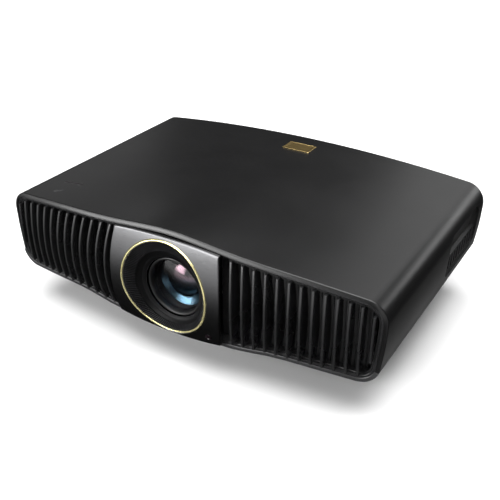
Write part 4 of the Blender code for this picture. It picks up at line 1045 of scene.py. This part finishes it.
def round_corners(y, z, half_y, half_z, radius):
    """Draws a point of a rectangle's grid in, so that the rectangle gets rounded corners."""
    over_y, over_z = abs(y) - (half_y - radius), abs(z) - (half_z - radius)
    if over_y > 0 and over_z > 0:
        square, length = max(over_y, over_z), math.hypot(over_y, over_z)
        y = math.copysign(half_y - radius + over_y * square / length, y)
        z = math.copysign(half_z - radius + over_z * square / length, z)
    return y, z


def bay_point(u, v):
    """Point of the opening, a gap in from its edge: u and v run from 0 to 1 along and up."""
    half_y = (BAY_HIGH[0] - BAY_LOW[0]) / 2 - GAP
    half_z = (BAY_HIGH[1] - BAY_LOW[1]) / 2 - GAP
    y, z = round_corners((u * 2 - 1) * half_y, (v * 2 - 1) * half_z, half_y, half_z, BAY_ROUND - GAP)
    return (BAY_LOW[0] + BAY_HIGH[0]) / 2 + y, (BAY_LOW[1] + BAY_HIGH[1]) / 2 + z


def vent_place(i, j):
    y, z = bay_point(i / 60, j / 36)
    depth = 0.0010
    edge = min(1.0, 4.0 * min(i / 60, 1 - i / 60, j / 36, 1 - j / 36) / 0.35)
    if z > LEDGE_Z:
        share = (z - LEDGE_Z) / (BAY_HIGH[1] - LEDGE_Z)
        depth += 0.0045 * edge * (1 - share) ** 0.8
    else:
        depth += 0.0006 * edge
    return (wall_x(z) - depth, y, z)


vent = sheet("vent_insert", 60, 36, vent_place)
apply_modifier(vent, "SOLIDIFY", thickness=0.0018, offset=-1.0)
slots = [block("slot", (0.225, y, 0.0815), (0.255, y + 0.0052, 0.1000), 0.0020, 3)
         for y in (0.0600 + 0.0100 * k for k in range(9))]
cut_with(vent, join_up(*slots))
fit(soften(vent, 30), "casing", "moulding", panel_black, "right_side_vent")

# ---- key pad -------------------------------------------------------------------------------
# Silicone keys in a tray behind a door that slides forward inside the left-hand wall. Each key
# has a domed, slightly dished cap with a printed sign; none carries lettering.
KEYS = {"power": (0.064, 0.104, 0.0060), "source": (0.084, 0.116, 0.0045),
        "back": (0.084, 0.092, 0.0045), "ok": (0.118, 0.104, 0.0050),
        "up": (0.118, 0.1165, 0.0042), "down": (0.118, 0.0915, 0.0042),
        "left": (0.1055, 0.104, 0.0042), "right": (0.1305, 0.104, 0.0042)}
KEY_TOP, TRAY_X, DOOR_X = -0.2362, -0.2345, -0.2385
coat_node("keypad_tray", panel_black)
key_rubber = moulded("key_rubber", (0.030, 0.030, 0.031), 0.6, grain=700.0, bump=0.00003,
                     mottle=0.1, dust=0.0, wear_and_highlight=0.3, worn_and_lit=(0.10, 0.10, 0.10, 1))
sign_white = moulded("sign_print", (0.55, 0.55, 0.56), 0.5, grain=500.0, mottle=0.15, dust=0.0,
                     wear_and_highlight=0.1, worn_and_lit=(0.3, 0.3, 0.3, 1))


def arc(y, z, radius, start, end, wide, count=20):
    """Corners of a printed arc, out along its outer edge and back along its inner one."""
    bends = [math.radians(start + (end - start) * k / count) for k in range(count + 1)]
    outer = [(y + radius * math.cos(a), z + radius * math.sin(a)) for a in bends]
    inner = [(y + (radius - wide) * math.cos(a), z + (radius - wide) * math.sin(a)) for a in bends]
    return outer + inner[::-1]


for key, (y, z, radius) in KEYS.items():
    cap = [(TRAY_X + 0.0048, radius + 0.0009), (TRAY_X + 0.0036, radius + 0.0009),
           (TRAY_X + 0.0036, radius), (KEY_TOP + 0.0008, radius), (KEY_TOP + 0.0003, radius - 0.0002),
           (KEY_TOP, radius - 0.0008), (KEY_TOP + 0.00015, radius * 0.6), (KEY_TOP + 0.0002, 0.0004)]
    fit(soften(lathe("key_cap_" + key, cap, "x", (y, z), 32), 40), "key_" + key, "rubber",
        key_rubber, "button_" + key)
    face, r = KEY_TOP + 0.00012, radius * 0.42
    signs = []
    if key == "power":
        signs = [arc(y, z, r, 120, 420, 0.0006),
                 [(y - 0.0003, z), (y + 0.0003, z), (y + 0.0003, z + r * 1.2), (y - 0.0003, z + r * 1.2)]]
    elif key == "ok":
        signs = [arc(y, z, r, 0, 359, 0.0006, 28)]
    elif key == "source":
        signs = [[(y - r, z - r * 0.7), (y + r, z - r * 0.7), (y + r, z + r * 0.7), (y - r, z + r * 0.7)]]
    elif key == "back":
        signs = [arc(y, z, r, -60, 180, 0.0006)]
    else:
        lean = {"up": 90, "down": -90, "left": 180, "right": 0}[key]
        signs = [[(y + r * math.cos(math.radians(lean + t)), z + r * math.sin(math.radians(lean + t)))
                  for t in (0, 120, 240)]]
    made = join_up(*[slab("sign", [(face, *corner) for corner in corners], (-0.00006, 0, 0))
                     for corners in signs])
    made.name = made.data.name = "key_sign_" + key
    fit(made, "key_" + key, "rubber", sign_white)

door_low, door_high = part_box("keypad_door")
DOOR_ROUND = 0.006


def door_place(i, j):
    half_y, half_z = (door_high.y - door_low.y) / 2, (door_high.z - door_low.z) / 2
    y, z = round_corners((2 * i / 48 - 1) * half_y, (2 * j / 30 - 1) * half_z, half_y, half_z, DOOR_ROUND)
    return (DOOR_X, (door_low.y + door_high.y) / 2 + y, (door_low.z + door_high.z) / 2 + z)


door = sheet("sliding_door", 48, 30, door_place)
apply_modifier(door, "SOLIDIFY", thickness=0.0018, offset=-1.0)
grips = [block("grip", (DOOR_X - 0.002, y, 0.092), (DOOR_X + 0.0006, y + 0.0014, 0.116), 0.0004, 2)
         for y in (0.140 - 0.0030 * k for k in range(5))]
cut_with(door, join_up(*grips))
fit(soften(door, 30), "door", "casing", case_black, "keypad_door")

# ---- top cover -----------------------------------------------------------------------------
# One large moulding: crowned top, rounded shoulders and both sides, in satin-painted ABS. Its
# front edge is thickened to a lip with two fine chamfers, which arches over the lens.
cover_paint = moulded("cover_satin_black", (0.0045, 0.0045, 0.0047), 0.32, grain=1900.0, bump=0.000012,
                      mottle=0.05, dust=0.01, wear_and_highlight=0.6, worn_and_lit=(0.06, 0.06, 0.061, 1))
COVER_FINE = 3
CUT_AT = PARTING * COVER_FINE


def hump_left(share):
    """How much of the hump over the lens is left at a share of the depth."""
    t = max(0.0, min(1.0, (share - 0.02) / 0.5))
    return 1 - t * t * (3 - 2 * t)


# distance behind the lip or, over 1, share of the depth; how far in through the wall; wall there
cover_walk = [(2.0, 1.0, WALL)] + [(b, 1.0, WALL) for b in (1.75, 1.52, 1.36, 1.22, 1.10, 0.0062)]
cover_walk += [(0.0060, 1.0, LIP_WALL), (0.0006, 1.0, LIP_WALL), (0.0001, 0.93, LIP_WALL),
               (0.0000, 0.88, LIP_WALL), (0.0002, 0.84, LIP_WALL), (0.0014, 0.14, LIP_WALL),
               (0.0015, 0.07, LIP_WALL), (0.0018, 0.02, LIP_WALL), (0.0024, 0.0, LIP_WALL),
               (0.0036, 0.0, WALL), (0.0070, 0.0, WALL)]
cover_walk += [(0.016 + 0.011 * k, 0.0, WALL) for k in range(3)]
cover_walk += [(1 + s, 0.0, WALL) for s in (0.16, 0.20, 0.25, 0.30, 0.35, 0.40, 0.45, 0.50, 0.56, 0.62,
                                            0.68, 0.74, 0.80, 0.86, 0.91, 0.95, 0.975, 0.990, 0.996)]
cover_walk += [(1.9985, 0.08, WALL), (2.0, 0.25, WALL)]
cover_lines = []
for back, through, wall in cover_walk:
    share = back - 1 if back >= 1 else back / (REAR - LIP)
    left = hump_left(share)
    outer = mirror_line(casing_section(left, 0.0, COVER_FINE)[:CUT_AT + 1])
    inner = mirror_line(casing_section(left, wall, COVER_FINE)[:CUT_AT + 1])
    row = []
    for (xa, za), (xb, zb) in zip(outer, inner):
        x, z = xa + (xb - xa) * through, za + (zb - za) * through
        y = lip_y(xa) + (back - 1) * (REAR - lip_y(xa)) if back >= 1 else lip_y(xa) + back
        row.append((x, y, z))
    row[0] = (row[0][0], row[0][1], row[0][2] + GAP)
    row[-1] = (row[-1][0], row[-1][1], row[-1][2] + GAP)
    cover_lines.append(row)

cover = sheet("cover_shell", len(cover_lines[0]) - 1, len(cover_walk),
              lambda i, j: cover_lines[j][i], loop=True)
for middle in (-0.2425, 0.2425):
    opening = block("bay", (middle - 0.013, *BAY_LOW), (middle + 0.013, *BAY_HIGH))
    bpy.ops.object.mode_set(mode="EDIT")
    bpy.ops.mesh.select_mode(type="EDGE")
    bpy.ops.mesh.select_all(action="DESELECT")
    bpy.ops.object.mode_set(mode="OBJECT")
    for edge in opening.data.edges:
        a, b = (opening.data.vertices[v].co for v in edge.vertices)
        edge.select = abs(a.x - b.x) > 0.01
    bpy.ops.object.mode_set(mode="EDIT")
    bpy.ops.mesh.bevel(offset=BAY_ROUND, segments=8, affect="EDGES")
    bpy.ops.mesh.select_mode(type="VERT")
    bpy.ops.object.mode_set(mode="OBJECT")
    cut_with(cover, opening)
fit(soften(cover, 30), "casing", "casing", cover_paint, "top_cover")

# ---- status window -------------------------------------------------------------------------
# A narrow smoked strip over three indicator lights, flush in the cover's front left corner,
# with a small printed ring and tick in front of it.
low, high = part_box("status_window")


def strip_place(i, j):
    x = low.x + (high.x - low.x) * i / 24
    y = low.y + (high.y - low.y) * j / 6
    crown = 0.00012 * (1 - (2 * j / 6 - 1) ** 2)
    return (x, y, crown_z(x) + 0.00002 + crown)


strip = sheet("status_strip", 24, 6, strip_place)
apply_modifier(strip, "SOLIDIFY", thickness=0.0012, offset=-1.0)
fit(soften(strip), "casing", "glass", smoked, "status_window")


grey_print = moulded("grey_print", (0.075, 0.075, 0.077), 0.5, grain=500.0, mottle=0.1, dust=0.0,
                     wear_and_highlight=0.0)
marks = [arc(-0.1905, -0.1200, 0.0026, 0, 359, 0.0006, 28),
         [(-0.1858, -0.1190), (-0.1846, -0.1190), (-0.1846, -0.1146), (-0.1858, -0.1146)]]
marks += [arc(x, -0.0960, 0.0010, 0, 359, 0.0004, 14) for x in (-0.198, -0.187, -0.176)]
marks = join_up(*[slab("mark", [(x, y, crown_z(x) + 0.00003) for x, y in corners], (0, 0, 0.00005))
                  for corners in marks])
marks.name = marks.data.name = "status_marks"
fit(marks, "casing", "casing", grey_print)

# ---- badge ---------------------------------------------------------------------------------
# A plain gold plate with a raised rim, pressed from anodised aluminium and stuck to the cover
# near the rear. It carries no lettering.
low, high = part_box("top_badge")
BADGE_RIM = [0.0, 0.012, 0.05, 0.075, 0.11]


def badge_share(k, count):
    """Share of the badge's width or length at a grid line: close together in the rim."""
    if k < 5:
        return BADGE_RIM[k]
    if k > count - 5:
        return 1 - BADGE_RIM[count - k]
    return BADGE_RIM[4] + (1 - 2 * BADGE_RIM[4]) * (k - 4) / (count - 8)


def badge_place(i, j):
    u, v = badge_share(i, 24), badge_share(j, 14)
    near = min(i, j, 24 - i, 14 - j)
    rise = {0: 0.0004, 1: 0.0008, 2: 0.0009, 3: 0.0006}.get(near, 0.0005)
    x = low.x + (high.x - low.x) * u
    return (x, low.y + (high.y - low.y) * v, crown_z(x) + rise)


badge = sheet("badge_plate", 24, 14, badge_place)
apply_modifier(badge, "SOLIDIFY", thickness=0.0003, offset=-1.0)
badge_gold = metal("badge_gold", (0.66, 0.48, 0.20), 0.30, along=14.0, across=2200.0, bump=0.000004,
                   spread=0.1, wear_and_highlight=0.3, worn_and_lit=(0.9, 0.75, 0.4, 1), tint=0.12)
fit(soften(badge, 30), "casing", "gold", badge_gold, "top_badge")

# ---- studio --------------------------------------------------------------------------------
# A plain white floor; soft boxes in front on the left and overhead, and weak ones behind and on
# the left that draw the highlights on the cover. Glossy surfaces see a graded light on the floor
# in place of reflector cards. The camera stands in front, to the right and above.
bpy.ops.object.select_all(action="DESELECT")
bpy.ops.mesh.primitive_plane_add(size=16, location=(0, 0, 0))
floor = bpy.context.object
floor.name = "floor"
made, tree, shader = shader_of("floor_white")
place = add_node(tree, "TexCoord").outputs["Object"]
paper = add_node(tree, "TexNoise", {"Vector": place, "Scale": 3.0})
tone = add_node(tree, "Mix", {"Factor": paper.outputs["Fac"], "A": (0.90, 0.90, 0.90, 1),
                              "B": (0.92, 0.92, 0.92, 1)}, data_type="RGBA")
spot = add_node(tree, "SeparateXYZ", {0: place})
ahead = add_node(tree, "MapRange", {"Value": spot.outputs["Y"], "From Min": -0.27, "From Max": -0.70,
                                    "To Min": 0.0, "To Max": 1.3}, interpolation_type="SMOOTHSTEP")
beside = add_node(tree, "MapRange", {"Value": spot.outputs["X"], "From Min": 0.262, "From Max": 0.292,
                                     "To Min": 0.30, "To Max": 0.03})
clear_of = add_node(tree, "MapRange", {"Value": spot.outputs["X"], "From Min": 0.23, "From Max": 0.25,
                                       "To Min": 0.04, "To Max": 1.0})
strip_light = add_node(tree, "Math", {0: beside.outputs["Result"], 1: clear_of.outputs["Result"]},
                       operation="MULTIPLY")
level = add_node(tree, "Math", {0: ahead.outputs["Result"], 1: strip_light.outputs[0]}, operation="ADD")
graded = add_node(tree, "Emission", {"Color": (1, 1, 1, 1), "Strength": level.outputs[0]})
path = add_node(tree, "LightPath")
reach = add_node(tree, "VectorMath", {0: place}, operation="LENGTH")
far = add_node(tree, "MapRange", {"Value": reach.outputs["Value"], "From Min": 1.2, "From Max": 2.6})
lit = add_node(tree, "Math", {0: far.outputs["Result"], 1: path.outputs["Is Camera Ray"]},
               operation="MULTIPLY")
feed(tree, shader, {"Base Color": tone.outputs["Result"], "Roughness": 1.0, "Specular IOR Level": 0.0,
                    "Emission Color": (1, 1, 1, 1), "Emission Strength": lit.outputs[0]})
pick = add_node(tree, "MixShader", {0: path.outputs["Is Glossy Ray"], 1: shader.outputs[0],
                                    2: graded.outputs[0]})
tree.links.new(pick.outputs[0], tree.nodes["Material Output"].inputs["Surface"])
floor.data.materials.append(made)


def soft_box(name, place, aim, size, power):
    light = bpy.data.lights.new(name, "AREA")
    light.shape, light.size, light.size_y, light.energy = "RECTANGLE", *size, power
    lamp = bpy.data.objects.new(name, light)
    bpy.context.scene.collection.objects.link(lamp)
    lamp.location = place
    lamp.rotation_euler = (Vector(aim) - Vector(place)).to_track_quat("-Z", "Y").to_euler()
    return lamp


soft_box("front_left_box", (-1.3, -2.0, 0.8), (0, 0, 0.1), (1.6, 1.0), 60)
soft_box("overhead_box", (0.1, -0.15, 2.1), (0, -0.1, 0), (2.6, 2.2), 110)
soft_box("rear_box", (0.15, 3.0, 1.95), (0.1, 0, 0.15), (1.7, 1.7), 10)
soft_box("rear_right_strip", (1.1, 1.9, 0.75), (0.2, 0, 0.15), (1.2, 0.35), 5)
soft_box("left_box", (-3.5, 2.9, 1.3), (0, 0, 0.15), (1.3, 1.2), 1.8)

world = bpy.data.worlds.new("studio_grey")
bpy.context.scene.world = world
world.use_nodes = True
sky = world.node_tree.nodes["Background"]
ray = add_node(world.node_tree, "LightPath")
seen = add_node(world.node_tree, "MapRange", {"Value": ray.outputs["Is Camera Ray"], "To Min": 0.04,
                                              "To Max": 1.0})
sky.inputs["Color"].default_value = (1, 1, 1, 1)
world.node_tree.links.new(seen.outputs["Result"], sky.inputs["Strength"])
bpy.context.scene.view_settings.view_transform = "Standard"

camera = bpy.data.objects.new("camera", bpy.data.cameras.new("camera"))
bpy.context.scene.collection.objects.link(camera)
camera.location = (0.44156, -0.71459, 0.54985)
camera.rotation_euler = (math.radians(60.197), 0, math.radians(31.195))
camera.data.sensor_width, camera.data.lens = 36, 55.32
camera.data.clip_start, camera.data.clip_end = 0.01, 100
bpy.context.scene.camera = camera
